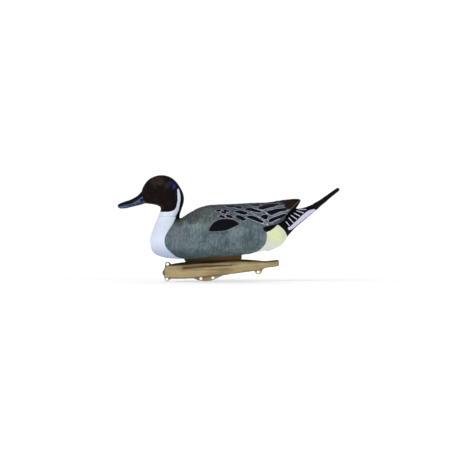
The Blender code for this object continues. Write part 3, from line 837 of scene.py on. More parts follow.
def body_paint():
    """Vermiculated grey, white breast, dark edged feathers, cream rump and black barred tail."""
    m = Paint("body_paint", 0.62, gloss=0.05)
    x, height, girth = m.axis("X"), m.read("height"), m.read("girth")
    above_flank, scapulars, feathers = m.read("above_flank"), m.read("scapulars"), m.read("feathers")
    unrolled = m.add("ShaderNodeCombineXYZ", [x, girth]).outputs[0]
    broad = m.noise((0.035, 0.03, 1), 4.0, 0.6, unrolled)
    mottle = m.noise((0.22, 0.13, 1), 4.0, 0.65, unrolled)
    streak = m.noise((0.75, 0.16, 1), 3.0, 0.6, unrolled)
    brushed = m.noise((0.3, 0.045, 1), 3.0, 0.6, unrolled)
    warp = m.noise((0.3, 0.45, 1), 2.0, 0.5, unrolled)
    tinge = m.noise((0.05, 0.06, 1), 2.0, 0.5, unrolled)
    fine = m.lines(x, 1.7, warp, 14.0)
    barbs = m.lines(m.maths("MULTIPLY_ADD", girth, 0.7, x), 1.3, warp, 5.0)
    blotches = m.span(mottle, 0.55, 0.3)

    flank = m.coats(
        m.mix(m.span(broad, 0.4, 0.6), (74, 94, 98), (112, 128, 130)),
        (m.span(tinge, 0.48, 0.66), (104, 104, 118), 0.6),
        (m.read("plum"), (112, 113, 124), 0.7),
    )
    mantle = m.mix(m.span(broad, 0.4, 0.6), (80, 87, 86), (112, 119, 117))
    # painted shade: a near-black strip along the top of the back at the front
    front_top_shade = m.times(m.span(girth, 17.0, 7.0), m.span(x, -12.0, -40.0))
    scale_edges = m.times(m.span(m.read("scale_edge"), 1.3, 0.2), m.span(scapulars, 1.0, -3.0))
    edging = m.mix(m.span(mottle, 0.35, 0.6), (124, 132, 144), (206, 212, 226))
    ground = m.coats(
        m.mix(m.span(above_flank, -6.0, 7.0), flank, mantle),
        # painted shade over the shoulder, near the nape
        (m.read("shoulder"), (48, 54, 58), 0.75),
        # painted highlights: a band along the shoulder crease and a patch on the flank under the wing
        (m.read("pale"), (134, 146, 148), 0.6),
        (m.read("dusky"), (46, 60, 66), 0.7),
        (m.span(scapulars, 5.0, -4.0), (80, 88, 95)),
        # painted shade along the top of the back
        (m.span(girth, 54.0, 26.0), (34, 37, 39), 0.85),
        (m.span(brushed, 0.5, 0.68), (138, 152, 156), 0.28),
        (m.span(brushed, 0.5, 0.34), (52, 66, 70), 0.32),
        # painted shade along the top of the back at the front
        (front_top_shade, (16, 17, 18)),
        (m.span(streak, 0.45, 0.7), (136, 152, 157), 0.45),
        (m.span(mottle, 0.54, 0.3), (50, 62, 66), 0.5),
        (m.span(fine, 0.62, 0.95), (36, 44, 46), 0.4),
        # painted shade, darker towards the bottom of the flank
        (m.span(height, 4.0, -22.0), (50, 64, 68), 0.5),
        (scale_edges, (166, 174, 184), 0.45),
        (m.inside("panels", 0.6), m.mix(streak, (84, 88, 100), (164, 164, 176)), 0.6),
        (m.inside("lines", 0.5), edging, 0.8),
    )

    edged = m.maths("MAXIMUM", m.span(x, 46.0, 62.0), m.span(above_flank, 1.0, 5.0))
    edged = m.times(m.span(feathers, 1.5, 0.5), m.maths("MULTIPLY_ADD", edged, 0.5, 0.2))
    edged = m.times(edged, m.span(girth, 26.0, 40.0, 0.55, 1.0))
    dark = m.mix(m.span(barbs, 0.55, 1.0), (4, 5, 10), (19, 22, 31))
    brown = m.mix(m.span(barbs, 0.2, 1.0), (18, 13, 12), (48, 35, 29))
    black = m.mix(m.span(barbs, 0.6, 1.0), (5, 5, 8), (17, 18, 22))
    # painted shade: a black strip along the top of the back at the rear
    rear_top_shade = m.times(m.span(girth, 14.0, 8.0), m.span(x, 104.0, 122.0))
    rump = m.coats(
        m.mix(m.span(height, 12.0, -4.0), (216, 224, 196), (226, 232, 232)),
        (m.read("yellow"), (224, 232, 178), 0.85),
        (blotches, (180, 190, 170), 0.25),
    )
    # painted shade, darker towards the bottom of the breast
    breast = m.mix(m.span(height, 20.0, -18.0), (216, 225, 241), (182, 190, 217))
    breast = m.coats(breast, (blotches, (180, 188, 214), 0.2))
    colour = m.coats(
        ground,
        (edged, edging),
        (m.inside("feathers"), dark),
        (m.inside("brown", 2.0), brown),
        # painted shade along the top of the back at the rear
        (rear_top_shade, black),
        (m.inside("black", 0.4), black),
        (m.inside("rim", 0.4), (104, 90, 76)),
        (m.inside("rump", 0.6), rump),
        (m.ragged("breast", streak, 2.6, 0.7), breast),
        (m.inside("nape", 1.8), (9, 9, 12)),
        (m.inside("bars"), (206, 209, 222)),
        (m.inside("band", 0.4), m.mix(streak, (176, 176, 212), (222, 222, 242))),
        (m.span(m.read("pad"), 0.3, 1.6), m.mix(m.span(x, -60.0, 30.0), (52, 43, 26), (96, 68, 32))),
    )

    grain = m.noise(900.0)
    m.bump(m.times(barbs, m.inside("feathers")), 0.18)
    m.bump(fine, 0.1)
    m.bump(streak, 0.4)
    m.bump(grain, 0.12)
    rough = m.span(feathers, -0.25, 0.25, 0.5, 0.66)
    return m.done(colour, m.maths("MULTIPLY_ADD", grain, 0.12, rough))


def head_paint():
    """Chocolate head with a sheen patch, white neck stripe, black nape and a blue-grey bill."""
    m = Paint("head_paint", 0.55, gloss=0.06)
    hairs = m.noise((420, 420, 900), 3.0, 0.6, turn=(0, math.radians(28), 0))
    down = m.noise((260, 260, 60), 3.0, 0.6)
    mottle = m.noise(140.0, 4.0, 0.6)
    flecks = m.noise(800.0, 2.0, 0.5)
    on_bill = m.inside("bill")

    white = m.mix(m.span(down, 0.3, 0.7), (220, 229, 242), (208, 217, 234))
    violet = m.mix(m.span(mottle, 0.4, 0.6), (30, 26, 96), (52, 46, 138))
    horn = m.coats(
        m.mix(m.span(mottle, 0.3, 0.7), (48, 66, 92), (82, 100, 130)),
        (m.read("pale_base"), (120, 134, 148)),
        (m.read("navy_base"), (8, 14, 44)),
        (m.span(m.read("culmen"), -0.5, 0.5), (7, 9, 14)),
        (m.span(m.read("lip"), -0.3, 0.3), (14, 20, 34)),
    )
    colour = m.coats(
        m.mix(m.span(hairs, 0.3, 0.7), (4, 3, 2), (20, 13, 11)),
        (m.span(mottle, 0.45, 0.7), (40, 19, 15), 0.6),
        (m.times(m.read("crown"), m.span(flecks, 0.52, 0.62)), (88, 71, 60), 0.8),
        (m.read("green"), (34, 44, 26), 0.75),
        (m.read("navy"), (24, 34, 66), 0.85),
        (m.times(m.read("purple"), m.span(flecks, 0.3, 0.55, 0.4, 1.0)), violet),
        (m.inside("nape", 0.8), m.mix(hairs, (4, 4, 7), (16, 16, 20))),
        (m.span(m.read("white"), 9.0, 0.6), (8, 7, 12), 0.85),
        (m.ragged("white", hairs, 0.9, 0.3), white),
        (on_bill, horn),
        (m.read("gape"), (100, 90, 80), 0.5),
    )
    m.bump(m.times(hairs, m.maths("SUBTRACT", 1.0, on_bill)), 0.4)
    m.bump(m.noise(1100.0, 2.0), 0.06)
    return m.done(colour, m.maths("MULTIPLY_ADD", on_bill, -0.2, 0.56))


def keel_plastic():
    """Moulded tan plastic, with painted shade along its lip, in its flute, on its edges and along the web
    joint, and a painted highlight on its ridge.
    """
    m = Paint("keel_plastic", 0.45, gloss=0.3)
    mottle = m.noise((22, 60, 60), 4.0, 0.6)
    drag = m.noise((14, 260, 420), 4.0, 0.6)
    colour = m.coats(
        m.mix(m.span(mottle, 0.35, 0.65), (150, 129, 88), (180, 161, 116)),
        (m.span(drag, 0.5, 0.7), (206, 188, 142), 0.55),
        (m.span(drag, 0.48, 0.3), (122, 100, 62), 0.45),
        # painted shade in the flute
        (m.read("flute"), (82, 57, 24)),
        # painted highlight along the ridge
        (m.read("ridge"), (214, 198, 150)),
        # painted shade along the lip, under the pad
        (m.read("lip"), (42, 27, 6)),
        # painted shade on the rounded edges and where the webs join
        (m.read("edge"), (78, 64, 38)),
    )
    m.bump(m.noise(700.0), 0.12)
    m.bump(drag, 0.25)
    return m.done(colour, m.maths("MULTIPLY_ADD", mottle, 0.25, 0.36))


def sprig_rubber():
    """Black barbed feathers in soft rubber."""
    m = Paint("tail_black", 0.5, gloss=0.06)
    barbs = m.lines(m.read("barb"), 1.1, m.noise(160.0), 2.0)
    colour = m.mix(m.span(barbs, 0.5, 1.0), (5, 5, 8), (24, 25, 30))
    colour = m.mix(m.read("shaft"), colour, (34, 33, 36))
    m.bump(barbs, 0.18)
    return m.done(colour, m.maths("MULTIPLY_ADD", m.noise(300.0), 0.2, 0.4))


def eye_gloss():
    """A black pupil, a dark brown iris and a black rim."""
    m = Paint("eye_gloss", 0.16, gloss=0.12)
    reach = m.read("reach")
    iris = m.mix(m.noise(900.0), (14, 7, 5), (36, 20, 12))
    colour = m.mix(m.span(reach, 1.9, 2.2), (3, 3, 4), iris)
    return m.done(m.mix(m.span(reach, 3.5, 3.9), colour, (8, 6, 5)))


def rubber():
    """Black seal rubber with a faint bloom."""
    m = Paint("seal_rubber", 0.75)
    bloom = m.noise(260.0, 4.0)
    m.bump(m.noise(1500.0, 2.0), 0.05)
    colour = m.mix(m.span(bloom, 0.4, 0.7), (22, 22, 23), (52, 52, 54))
    return m.done(colour, m.maths("MULTIPLY_ADD", bloom, 0.3, 0.6))


def nylon():
    m = Paint("nylon", 0.42)
    m.shader.inputs["Subsurface Weight"].default_value = 0.15
    m.shader.inputs["Subsurface Scale"].default_value = 0.002
    m.bump(m.noise(1200.0, 2.0), 0.04)
    return m.done(m.mix(m.noise(180.0), (214, 208, 192), (232, 228, 216)))


def steel():
    """Turned steel with fine marks round its axis."""
    m = Paint("screw_steel", 0.3, 1.0)
    marks = m.noise((150, 150, 6000), 2.0, 0.5)
    m.bump(marks, 0.03)
    colour = m.mix(m.span(m.noise(500.0, 4.0), 0.5, 0.75), (188, 188, 190), (140, 132, 122))
    return m.done(colour, m.maths("MULTIPLY_ADD", marks, 0.3, 0.2))


def plug_plastic(name, low, high):
    """A soft plug in its moulding's colour."""
    m = Paint(name, 0.55, gloss=0.2)
    m.bump(m.noise(1400.0, 2.0), 0.04)
    return m.done(m.mix(m.span(m.noise(240.0), 0.35, 0.65), low, high))


def sand():
    m = Paint("sand", 0.95)
    grains = m.noise(2600.0, 2.0, 0.7)
    m.bump(grains, 0.5)
    return m.done(m.mix(m.span(grains, 0.3, 0.7), (148, 118, 80), (226, 204, 160)))


# Paint outlines in the side view, millimetres

BREAST_WHITE = [
    (-80.5, 70), (-81.5, 60), (-86.1, 49.2), (-91.2, 41), (-96.4, 32.8), (-100.5, 24.6), (-101.9, 16.4),
    (-101.5, 8.2), (-98.4, 1), (-93.3, -5.1), (-86.1, -11.3), (-80, -16.4), (-71.8, -20.5), (-64, -24),
    (-64, -45), (-160, -45), (-160, 70),
]
NAPE = [(-81.8, 70), (-69, 70), (-68.5, 58), (-74, 57), (-78.5, 58.5), (-80.6, 64)]
FLANK_TOP = [(-90, 50), (-60, 49), (-30, 48), (0, 54), (30, 60), (60, 58), (90, 50), (110, 40)]
SCAPULARS = [
    (0, 96), (-4, 78), (-2, 66), (6, 59), (30, 60), (46, 55), (63, 56), (85, 51), (97, 43), (112, 46),
    (128, 50), (142, 58), (152, 74), (164, 83), (150, 100), (100, 100), (40, 98),
]
POCKET = [
    (-70, 40), (-40, 38), (-11, 34), (0.8, 34.4), (18, 36.5), (28, 40.4), (40, 45.8), (49.2, 48.2),
    (63, 54.7), (72.1, 54.9), (84.9, 50), (95.9, 42.8), (103.5, 34), (105.6, 26.7), (104.6, 16.4),
    (100.5, 6.2), (92.3, -2.1), (84.1, -7.2), (70, -16), (60, -50), (-70, -50),
]
RUMP = [
    (104.3, 32.2), (107, 33.4), (114.8, 36.9), (123, 43.1), (128.1, 47.2), (135.3, 42), (141.5, 35.9),
    (145.6, 28.7), (147.6, 22.6), (151, 8), (140, -22), (90, -27), (74, -14), (84.1, -7.2), (92.3, -2.1),
    (100.5, 6.2), (104.6, 16.4), (105.7, 25.5),
]
BLACK = [
    (97.8, 41.8), (111.1, 45.7), (126.9, 49.6), (141, 57.6), (150.7, 73.4), (166.5, 81.2), (222, 104),
    (222, 62), (152, 4), (138, 12), (118, 30), (103, 33),
]
BROWN = [
    (126.9, 94.7), (140, 101), (160, 105), (180, 104), (177, 96), (165, 81), (152.9, 78.9), (142.7, 82.8),
    (141, 90.6),
]
LEAVES = [
    ((2.1, 74.2), (12.3, 77.7), 1.9),
    ((17.4, 77.9), (29.1, 73.4), 2),
    ((11.9, 74.2), (23.6, 70.1), 2),
    ((7.2, 65.6), (20.9, 61.9), 2.2),
    ((21.3, 67), (36.3, 61.5), 2.4),
    ((23, 87.4), (40, 83.4), 2.6),
    ((38.5, 85.4), (55, 81), 2.3),
    ((69, 88.2), (93, 86.4), 2.1),
    ((106, 94), (134, 94), 1.6),
]
FEATHERS = [
    [(-11.1, 35.3), (-7.2, 45.5), (0.8, 53.3), (12.7, 58), (24.4, 58.8), (36.3, 57.2), (48.2, 49.6),
     (40.2, 44.1), (28.3, 38.9), (18, 35.9), (0.8, 34.4)],
    [(39.4, 73.4), (50.4, 76.9), (58.4, 74.6), (66.6, 71.1), (59.9, 67.9), (48.2, 70.7)],
    [(40.6, 65.2), (48.2, 66.6), (56, 63.6), (62.7, 58), (56.8, 55.8), (48.8, 59.7)],
    [(59.9, 78.9), (70.9, 82), (82, 78.9), (94.7, 74.2), (91.4, 72.2), (79.5, 73.8), (67.7, 76.5)],
    [(64, 63.6), (71.8, 65.8), (82, 63.6), (92.3, 58.4), (98.6, 53.3), (94.7, 51.7), (85.9, 54.3),
     (71.8, 59.7)],
    [(86.7, 81.6), (97.8, 86.7), (109.7, 89.6), (130.2, 89.2), (119.1, 85.1), (107.2, 81.6), (97.8, 78.5),
     (91.4, 79.5)],
    [(105.6, 74.2), (119.1, 77.3), (134.9, 80), (147.4, 80), (141, 77.3), (126.9, 73.4), (115.8, 68.3),
     (110.3, 69.7)],
    [(93.1, 65.4), (105.6, 67), (106.4, 62.3), (103.3, 58.4), (96.1, 61.5)],
    [(109.7, 56), (115.8, 59.9), (130.8, 65.4), (142.7, 69.3), (144.3, 67), (134.9, 63.1), (123, 58.4),
     (111.9, 53.3)],
]
EDGE_LINES = [
    [(71.8, 82.8), (87.5, 78.9), (99.4, 74.8), (107.2, 68.7)],
    [(71.8, 72.6), (91.4, 61.5), (99.4, 56), (108, 48.8)],
    [(95.3, 49.6), (108, 47.4)],
]
PANELS = [
    [(107.2, 77.3), (122, 82.5), (141, 86.7)],
    [(115.8, 65.4), (135, 72), (154.6, 78.1)],
    [(112.8, 50.4), (130, 58), (147.4, 66.2)],
]
TAIL_BARS = [
    [(142.7, 56), (152.1, 45.7)],
    [(150.7, 61.5), (161.5, 50.4)],
    [(155.4, 67), (167.1, 59)],
    [(161.5, 71.8), (173.4, 65.4)],
    [(167.1, 76.5), (181.4, 71.8)],
    [(171.8, 79.5), (186.1, 78.9)],
]
TAIL_BAND = [
    (149, 41.8), (151.3, 36.8), (160.1, 40.8), (174.3, 52.6), (194.8, 69.2), (208, 79.6), (193.1, 77.3),
    (182, 70.1), (166.5, 56), (154.6, 44.9),
]
NECK_WHITE = [
    (-130, 58), (-130, 74.2), (-112.1, 74.2), (-102.5, 73.9), (-92.3, 74.4), (-84.1, 77.2), (-80, 82),
    (-77.9, 88.2), (-76.4, 98.4), (-76.6, 108.7), (-76.9, 118.4), (-75, 121.5), (-72.8, 117),
    (-71.1, 108.7), (-70.5, 98.4), (-72.2, 88.2), (-74.2, 77.9), (-77, 71), (-80.5, 64), (-83, 56),
]
HEAD_NAPE = [
    (-73.8, 121.5), (-77, 125), (-82, 131.5), (-89, 137), (-98, 141.5), (-108, 144.5), (-108, 160),
    (-50, 160), (-50, 60), (-84, 60), (-77, 70), (-73.5, 78), (-71.5, 90), (-70, 100), (-70.7, 110),
]
BILL_EDGE = [(80, -142), (92.3, -144), (98.4, -147.2), (108.7, -147.9), (118.9, -149.4), (123, -153)]
WING_RIM = [(173, 97.4), (164, 88.5), (154.6, 79.5)]
GAPE = [(-195, 86.6), (-184, 86.4), (-170, 88.2), (-158, 91.2), (-147, 94)]
# The flute's line and width, for its groove and its painted shade
FLUTE = [(-64, -40.5), (-30, -37.5), (0, -36.2), (34, -35.8)]
FLUTE_WIDTH = [(-64, 3.2), (-20, 2.8), (40, 1.4)]
# The ridge's line, for its raised form and its painted highlight
RIDGE = [(-22, -41.5), (30, -37.8), (70, -34.6), (98, -32.4)]
# How far down the painted shade under the pad's lip reaches
LIP_DEPTH = [(-108, 2.4), (-62, 5.2), (0, 5.6), (56, 4.4), (90, 2.2)]
# The lower edge of the dark culmen, as a share of the bill's upper height
CULMEN_FOOT = [(-199, -0.3), (-190, 0.2), (-182, 0.28), (-166, 0.25), (-153, 0.4)]

# Soft spots of colour: the middle, the reach and, if not 1, the most of each
BODY_SPOTS = {
    # shoulder: painted shade near the nape
    "shoulder": [((-50, 62), (32, 15)), ((-73, 52), (13, 13))],
    "plum": [((-72, 20), (26, 30))],
    # pale: painted highlights on the shoulder crease and on the flank under the wing
    "pale": [((-42, 44), (26, 7)), ((46, 33), (20, 14), 0.7)],
    "dusky": [((-76, -15), (34, 14)), ((10, 32), (26, 5))],
    "yellow": [((124, 27), (19, 18))],
}
HEAD_SPOTS = {
    "crown": [((-118, 137), (22, 14))],
    "green": [((-98, 127), (7, 8))],
    "navy": [((-91, 133), (11, 7)), ((-79, 110), (3.5, 22))],
    "purple": [((-83, 125.5), (4.6, 7.5))],
    "pale_base": [((-151.5, 110), (5, 8))],
    "navy_base": [((-150, 98), (5, 6))],
    "gape": [((-144, 94), (3.2, 3.2))],
}

FAR = 30  # the largest distance that an outline gives
OFF = 9  # a distance that leaves an area unpainted

# Rows of long feathers on the back, by distance from its middle. Each row starts a little further back than
# the one before it, and its feathers turn in towards the middle.
BACK_ROWS = (6.5, 17.5, 28.5)
BACK_START = 4
BACK_SHIFT = 9
BACK_END = 120
BACK_PITCH = 31
BACK_LENGTH = 33
BACK_HALF = 4.6
BACK_ROOM = 5.5  # how far a feather's middle stays from the other feathers


def leaf(start, end, half):
    """An outline of a leaf-shaped feather."""
    (x, z), (dx, dz) = start, (end[0] - start[0], end[1] - start[1])
    length = math.hypot(dx, dz)
    upper = [(0.25, 0.85), (0.6, 1), (0.88, 0.55)]
    shape = [(0, 0), *upper, (1, 0), *[(t, -w) for t, w in reversed(upper)]]
    return [(x + t * dx - w * half * dz / length, z + t * dz + w * half * dx / length) for t, w in shape]


def scales(u, v, length, width):
    """Overlapping feather tips: distance to the edge of the top one, and how far along it a point lies."""
    row = np.floor(u / length)
    share = u / length - row
    tilt = []
    for step in (0, 1):
        middle = v / width + 0.5 * ((row + step) % 2)
        aside = middle - np.floor(middle) - 0.5
        tilt.append(share - step + 1.6 * aside**2)
    along = np.where(tilt[0] < 1, tilt[0], tilt[1])
    return (1 - along) * length, along


# Pieces


def dark_feathers(chart):
    """Outlines on the chart: the feathers that the side view shows, then rows over the top of the back."""
    shapes = [chart.places(p) for p in FEATHERS]
    for start, end, half in LEAVES:
        x, z = (start[0] + end[0]) / 2, (start[1] + end[1]) / 2
        wide = chart.place(x, z - half)[1] - chart.place(x, z + half)[1]
        shapes.append(leaf(chart.place(*start), chart.place(*end), wide / 2))
    for row, across in enumerate(BACK_ROWS):
        for place in range(BACK_START + BACK_SHIFT * row, BACK_END, BACK_PITCH):
            middle = np.array([[place + BACK_LENGTH / 2], [across * 0.93]])
            if least(outline(shape, *middle) for shape in shapes)[0] > BACK_ROOM:
                shapes.append(leaf((place, across), (place + BACK_LENGTH, across * 0.86), BACK_HALF))
    return shapes


def make_body():
    parts = [rings(hull), rings(breast), rings(wings), rings(tail)]
    parts.append(slab((PAD_X[0], -PAD_HALF, PAD_MID_Z), (PAD_X[1], PAD_HALF, PAD_ROOT_Z)))
    points, faces = together(parts)
    past = np.maximum(along_tail(points.T)[0], 0)[:, None]
    body = remeshed(new_object("body_skin", points - past * TAIL_AXIS, faces), BODY_CELL)
    points, normal = settle(body, body_field)
    x, y, z = points.T
    on_tail = np.abs(tail.field((x, y, z))) < 0.8
    on_tail &= (x > 144) & (wings.field((x, y, z)) > 1.0)
    off_tail = np.where(on_tail, 0, FAR)

    chart = Chart()
    girth = chart.round_of(x, y, z)
    feathers = least(outline(shape, x, girth) for shape in dark_feathers(chart))
    feathers = feathers - 0.5 - 0.8 * ease(x, 92, 116)
    scale_edge, tilt = scales(x, girth, 13.0, 11.0)
    flank_tilt = scales(x, girth, 24.0, 20.0)[1]
    scapulars = outline(chart.places(SCAPULARS), x, girth)
    panels = least(stroke(chart.places(p), x, girth) for p in PANELS) - 2.0
    bars = least(stroke(p, x, z) for p in TAIL_BARS) - 0.85 + off_tail
    band = outline(TAIL_BAND, x, z) + off_tail
    below_rim = (x - WING_RIM[-1][0]) * 0.7 - (z - WING_RIM[-1][1]) * 0.72
    wing_tip = np.where((x > 150) & ~on_tail, 1.2 - below_rim, FAR)
    black = np.where(on_tail, -5, outline(BLACK, x, z))
    keep(
        body,
        girth=girth,
        height=z,
        above_flank=z - np.interp(x, *zip(*FLANK_TOP)),
        scapulars=scapulars,
        scale_edge=scale_edge,
        black=np.minimum(black, np.maximum(wing_tip, 150 - x)),
        breast=outline(BREAST_WHITE, x, z),
        nape=outline(NAPE, x, z),
        bars=bars,
        band=band,
        pad=np.where(z < PAD_ROOT_Z, trunk_field(points.T), 0),
        **{name: spots(x, z, places) for name, places in BODY_SPOTS.items()},
    )
    trunk_only = {
        "feathers": feathers,
        "panels": panels,
        "lines": least(stroke(chart.places(p), x, girth) for p in EDGE_LINES) - 0.8,
        "brown": outline(BROWN, x, z),
        "rim": stroke(WING_RIM, x, z) - 0.7,
        "rump": outline(RUMP, x, z),
    }
    keep(body, **{name: np.where(on_tail, OFF, value) for name, value in trunk_only.items()})

    pocket = outline(POCKET, x, z)
    raised = 0.9 * ease(-pocket, -0.9, 0.9) * np.exp(-np.maximum(-pocket, 0) / 30) * ease(x, 20, 60)
    raised += 0.45 * ease(-feathers, -1.0, 0.8) * ~on_tail
    on_scapulars = ease(-scapulars, -2, 2)
    plain = (x > -125) & (z > -18) & (x < 150) & ~on_tail
    raised += (0.3 * on_scapulars * tilt + 0.28 * (1 - on_scapulars) * flank_tilt) * plain
    raised += 0.3 * ease(-panels, -0.8, 0.8) * ~on_tail
    raised += 0.35 * ease(-band, -0.8, 0.8) - 0.3 * ease(1.2 - np.abs(bars + 0.4), 0, 1.2)
    raise_points(body, points, normal, raised)
    carve(body, body_bores())
    finish_piece(body, "hull", body_paint(), "body_shell")


def shrunk(stations, floor=-math.inf):
    """The same sections one wall further in, and nowhere below the floor."""
    inner = []
    for place, first, second, half, *rest in stations:
        wall = WALL if first > second else -WALL
        inner.append((place, first - wall, max(second + wall, floor), half - WALL, *rest))
    return inner


def body_bores():
    """The hollow and its openings: the collar, the tail's socket and the vent."""
    axis, joint = Vector(TAIL_AXIS), Vector(TAIL_AT)
    before, bottom, after = hull(np.array([VENT_X - 4, VENT_X, VENT_X + 4]))[1]
    out = Vector((after - before, 0, -8)).normalized()
    vent = Vector((VENT_X, 0, bottom))
    return [
        rings(Upright(shrunk(HULL[2:-2], floor=-6), HULL_POWER), 60, 48),
        rings(Level(shrunk(BREAST[2:-1]), BREAST_POWER), 40, 48),
        bar(STUB_R + GAP, (NECK_X, 0, SEAM_Z - 11), (NECK_X, 0, SEAM_Z + 8), 64),
        slab((-120, -25, SEAM_Z), (-66, 25, SEAM_Z + 9)),
        bar(TAIL_PLUG_R + GAP, joint - 34 * axis, joint + 6 * axis),
        bar(VENT_R, vent - 14 * out, vent + 8 * out),
    ]


def make_head():
    head = remeshed(new_object("head_skin", *together([rings(head_form), rings(bill)])), HEAD_CELL)
    points, normal = settle(head, head_field)
    x, y, z = points.T
    top, bottom, _, wide = bill(x)
    up = np.where(z > wide, (z - wide) / (top - wide), (z - wide) / (wide - bottom))
    on_bill = x - np.interp(z, *zip(*BILL_EDGE))
    gape = stroke(GAPE, x, z)
    nostril = np.hypot((x + 161) * 0.42 + (z - 104) * 0.2, (z - 104) * 0.9 - (x + 161) * 0.35)
    nail = np.hypot((x + 196) / 6.5, y / 4.4) - 1
    culmen_foot = np.interp(x, *zip(*CULMEN_FOOT))
    white = outline(NECK_WHITE, x, z)
    keep(
        head,
        white=white,
        nape=np.where(white < 2, FAR, outline(HEAD_NAPE, x, z)),
        bill=on_bill,
        culmen=np.maximum((up - culmen_foot) * (top - wide), -nail * 4) * 0.8,
        lip=np.maximum(-0.62 - up, -0.9 + 0.35 / np.maximum(gape, 0.15) * (x < -149)),
        **{name: spots(x, z, places) for name, places in HEAD_SPOTS.items()},
    )
    from_eye = np.hypot(x - EYE_AT[0], z - EYE_AT[1])
    raised = bell(from_eye - 5.9, 1.0) * 0.45 - bell(from_eye - 4.5, 0.55) * 0.5
    raised += 0.35 * ease(on_bill, -0.6, 0.6) * ease(12 - on_bill, 0, 12)
    billed = ease(-on_bill, 0, 1)
    raised -= billed * (0.45 * bell(gape, 0.8) + 1.1 * np.exp(-(nostril**4)))
    raised += billed * (0.3 * ease(-nail, -0.1, 0.15) - 0.25 * bell(nail, 0.12))
    raised += billed * 0.35 * bell(y, 2.2) * (up > 0)
    raise_points(head, points, normal, raised)
    carve(head, head_bores())
    finish_piece(head, "head", head_paint(), "head_shell")


def head_bores():
    """The hollow and its openings: the stub's bore, the face at the seam and the eyes' sockets."""
    bores = [
        rings(Level(shrunk(HEAD[1:-2]), HEAD_POWER), 50, 48),
        bar(STUB_BORE_R, (NECK_X, 0, SEAM_Z - 4), (NECK_X, 0, SEAM_Z + 9), 64),
        slab((-120, -25, SEAM_Z - 9), (-66, 25, SEAM_Z + SEAM)),
    ]
    for side in (-1, 1):
        for radius, depth in ((EYE_STEM_R, 12), (EYE_R, 18.9)):
            start, end = ((EYE_AT[0], side * y, EYE_AT[1]) for y in (depth, 30))
            bores.append(bar(radius + GAP, start, end))
    return bores


def make_eye(name, side, material):
    """A domed eye on its stem."""
    dome = [(EYE_R * math.cos(a), 1.9 * math.sin(a)) for a in np.linspace(math.pi / 2, 0, 14)]
    foot = [(EYE_R, -0.5), (EYE_R - 0.2, -0.6), (EYE_STEM_R, -0.6), (EYE_STEM_R, -4.5), (0, -4.5)]
    skin = turned([(0, 1.9)] + dome[1:] + foot, (EYE_AT[0], side * EYE_Y, EYE_AT[1]), (0, side, 0))
    eye = new_object(f"{name}_glass", *skin)
    x, _, z = points_of(eye.data).T
    keep(eye, reach=np.hypot(x - EYE_AT[0], z - EYE_AT[1]))
    finish_piece(eye, "head", material, name)


def make_sprig():
    """Two long feathers, one over the other, with the plug that grips in the tail."""
    points, faces = rings(sprig, 120, 64)
    short = np.maximum(GAP - along_tail(points.T)[0], 0)[:, None]
    plug = bar(TAIL_PLUG_R, TAIL_AT - 15 * TAIL_AXIS, TAIL_AT + 4 * TAIL_AXIS)
    skin = together([(points + short * TAIL_AXIS, faces), plug])
    piece = remeshed(new_object("tail_feathers", *skin), TAIL_CELL)
    points, normal = settle(piece, sprig_field, rounds=3)
    x, y, z = points.T
    top, bottom, half, wide = sprig(x)
    past = along_tail(points.T)[0]
    up = (z - wide) / (top - bottom) * 2
    shown = ease(past, 1.0, 5.0)
    rib = bell(y, 0.8)
    between = bell(up + 0.05, 0.14) * (np.abs(y) > half * 0.5)
    keep(piece, barb=past - np.abs(y) * 0.9 - np.abs(up) * 2.5, shaft=rib * shown)
    raised = shown * (0.35 * rib - 0.35 * bell(np.abs(y) - 1.7, 0.6) - 0.55 * between)
    raise_points(piece, points, normal, raised)
    finish_piece(piece, "tail", sprig_rubber(), "tail_sprig")


def make_keel():
    """The keel, from the frame's own shell, with rounded webs, a lip, a flute and a raised moulding seam,
    and painted shade under the lip, in the flute, on the edges and where the webs join, and a painted
    highlight on the ridge.
    """
    keel = bpy.data.objects.new("keel_skin", frame["nodes"]["keel_shell"].data.copy())
    bpy.context.scene.collection.objects.link(keel)
    keel = remeshed(keel, KEEL_CELL)
    points, normal = settle(keel, keel_field, rounds=3, keep_within=1.05)
    x, y, z = points.T
    aside, sideways = np.abs(y), np.abs(normal[:, 1])
    top, bottom = keel_form(x)[:2]
    # flute: the groove, which also gets painted shade
    flute = bell(stroke(FLUTE, x, z), np.interp(x, *zip(*FLUTE_WIDTH))) * ease(aside, 3, 6)
    # ridge: raised, and also given a painted highlight
    ridge = bell(stroke(RIDGE, x, z), 1.3) * ease(aside, 3, 6)
    # lip: the painted shade under the pad
    lip = np.interp(x, *zip(*LIP_DEPTH)) - (np.minimum(top, pad_z(x)) - z)
    # painted shade along the keel's lower line, where the webs join
    web_joint_shade = bell(z - bottom, 0.8) * (x < 60) * (x > -96)
    keep(
        keel,
        flute=0.95 * flute,
        ridge=0.6 * ridge,
        lip=ease(lip, -2.6, 1.2) * ease(x, -104, -80),
        # painted shade on the rounded edges and along the web joint
        edge=0.75 * np.maximum(web_joint_shade, 1 - ease(sideways, 0.35, 0.9)),
    )
    raised = 0.5 * ridge - 1.0 * flute + 0.3 * bell(y, 0.6) * (z > -60) * (sideways < 0.3)
    under_pad = (normal[:, 2] > 0.7) & (aside < 9.6) & (x > PAD_X[0] + 0.4) & (x < PAD_X[1] - 0.4)
    raised += 0.35 * under_pad  # closes the joint with the pad
    raise_points(keel, points, normal, raised)
    finish_piece(keel, "hull", keel_plastic(), "keel_shell")


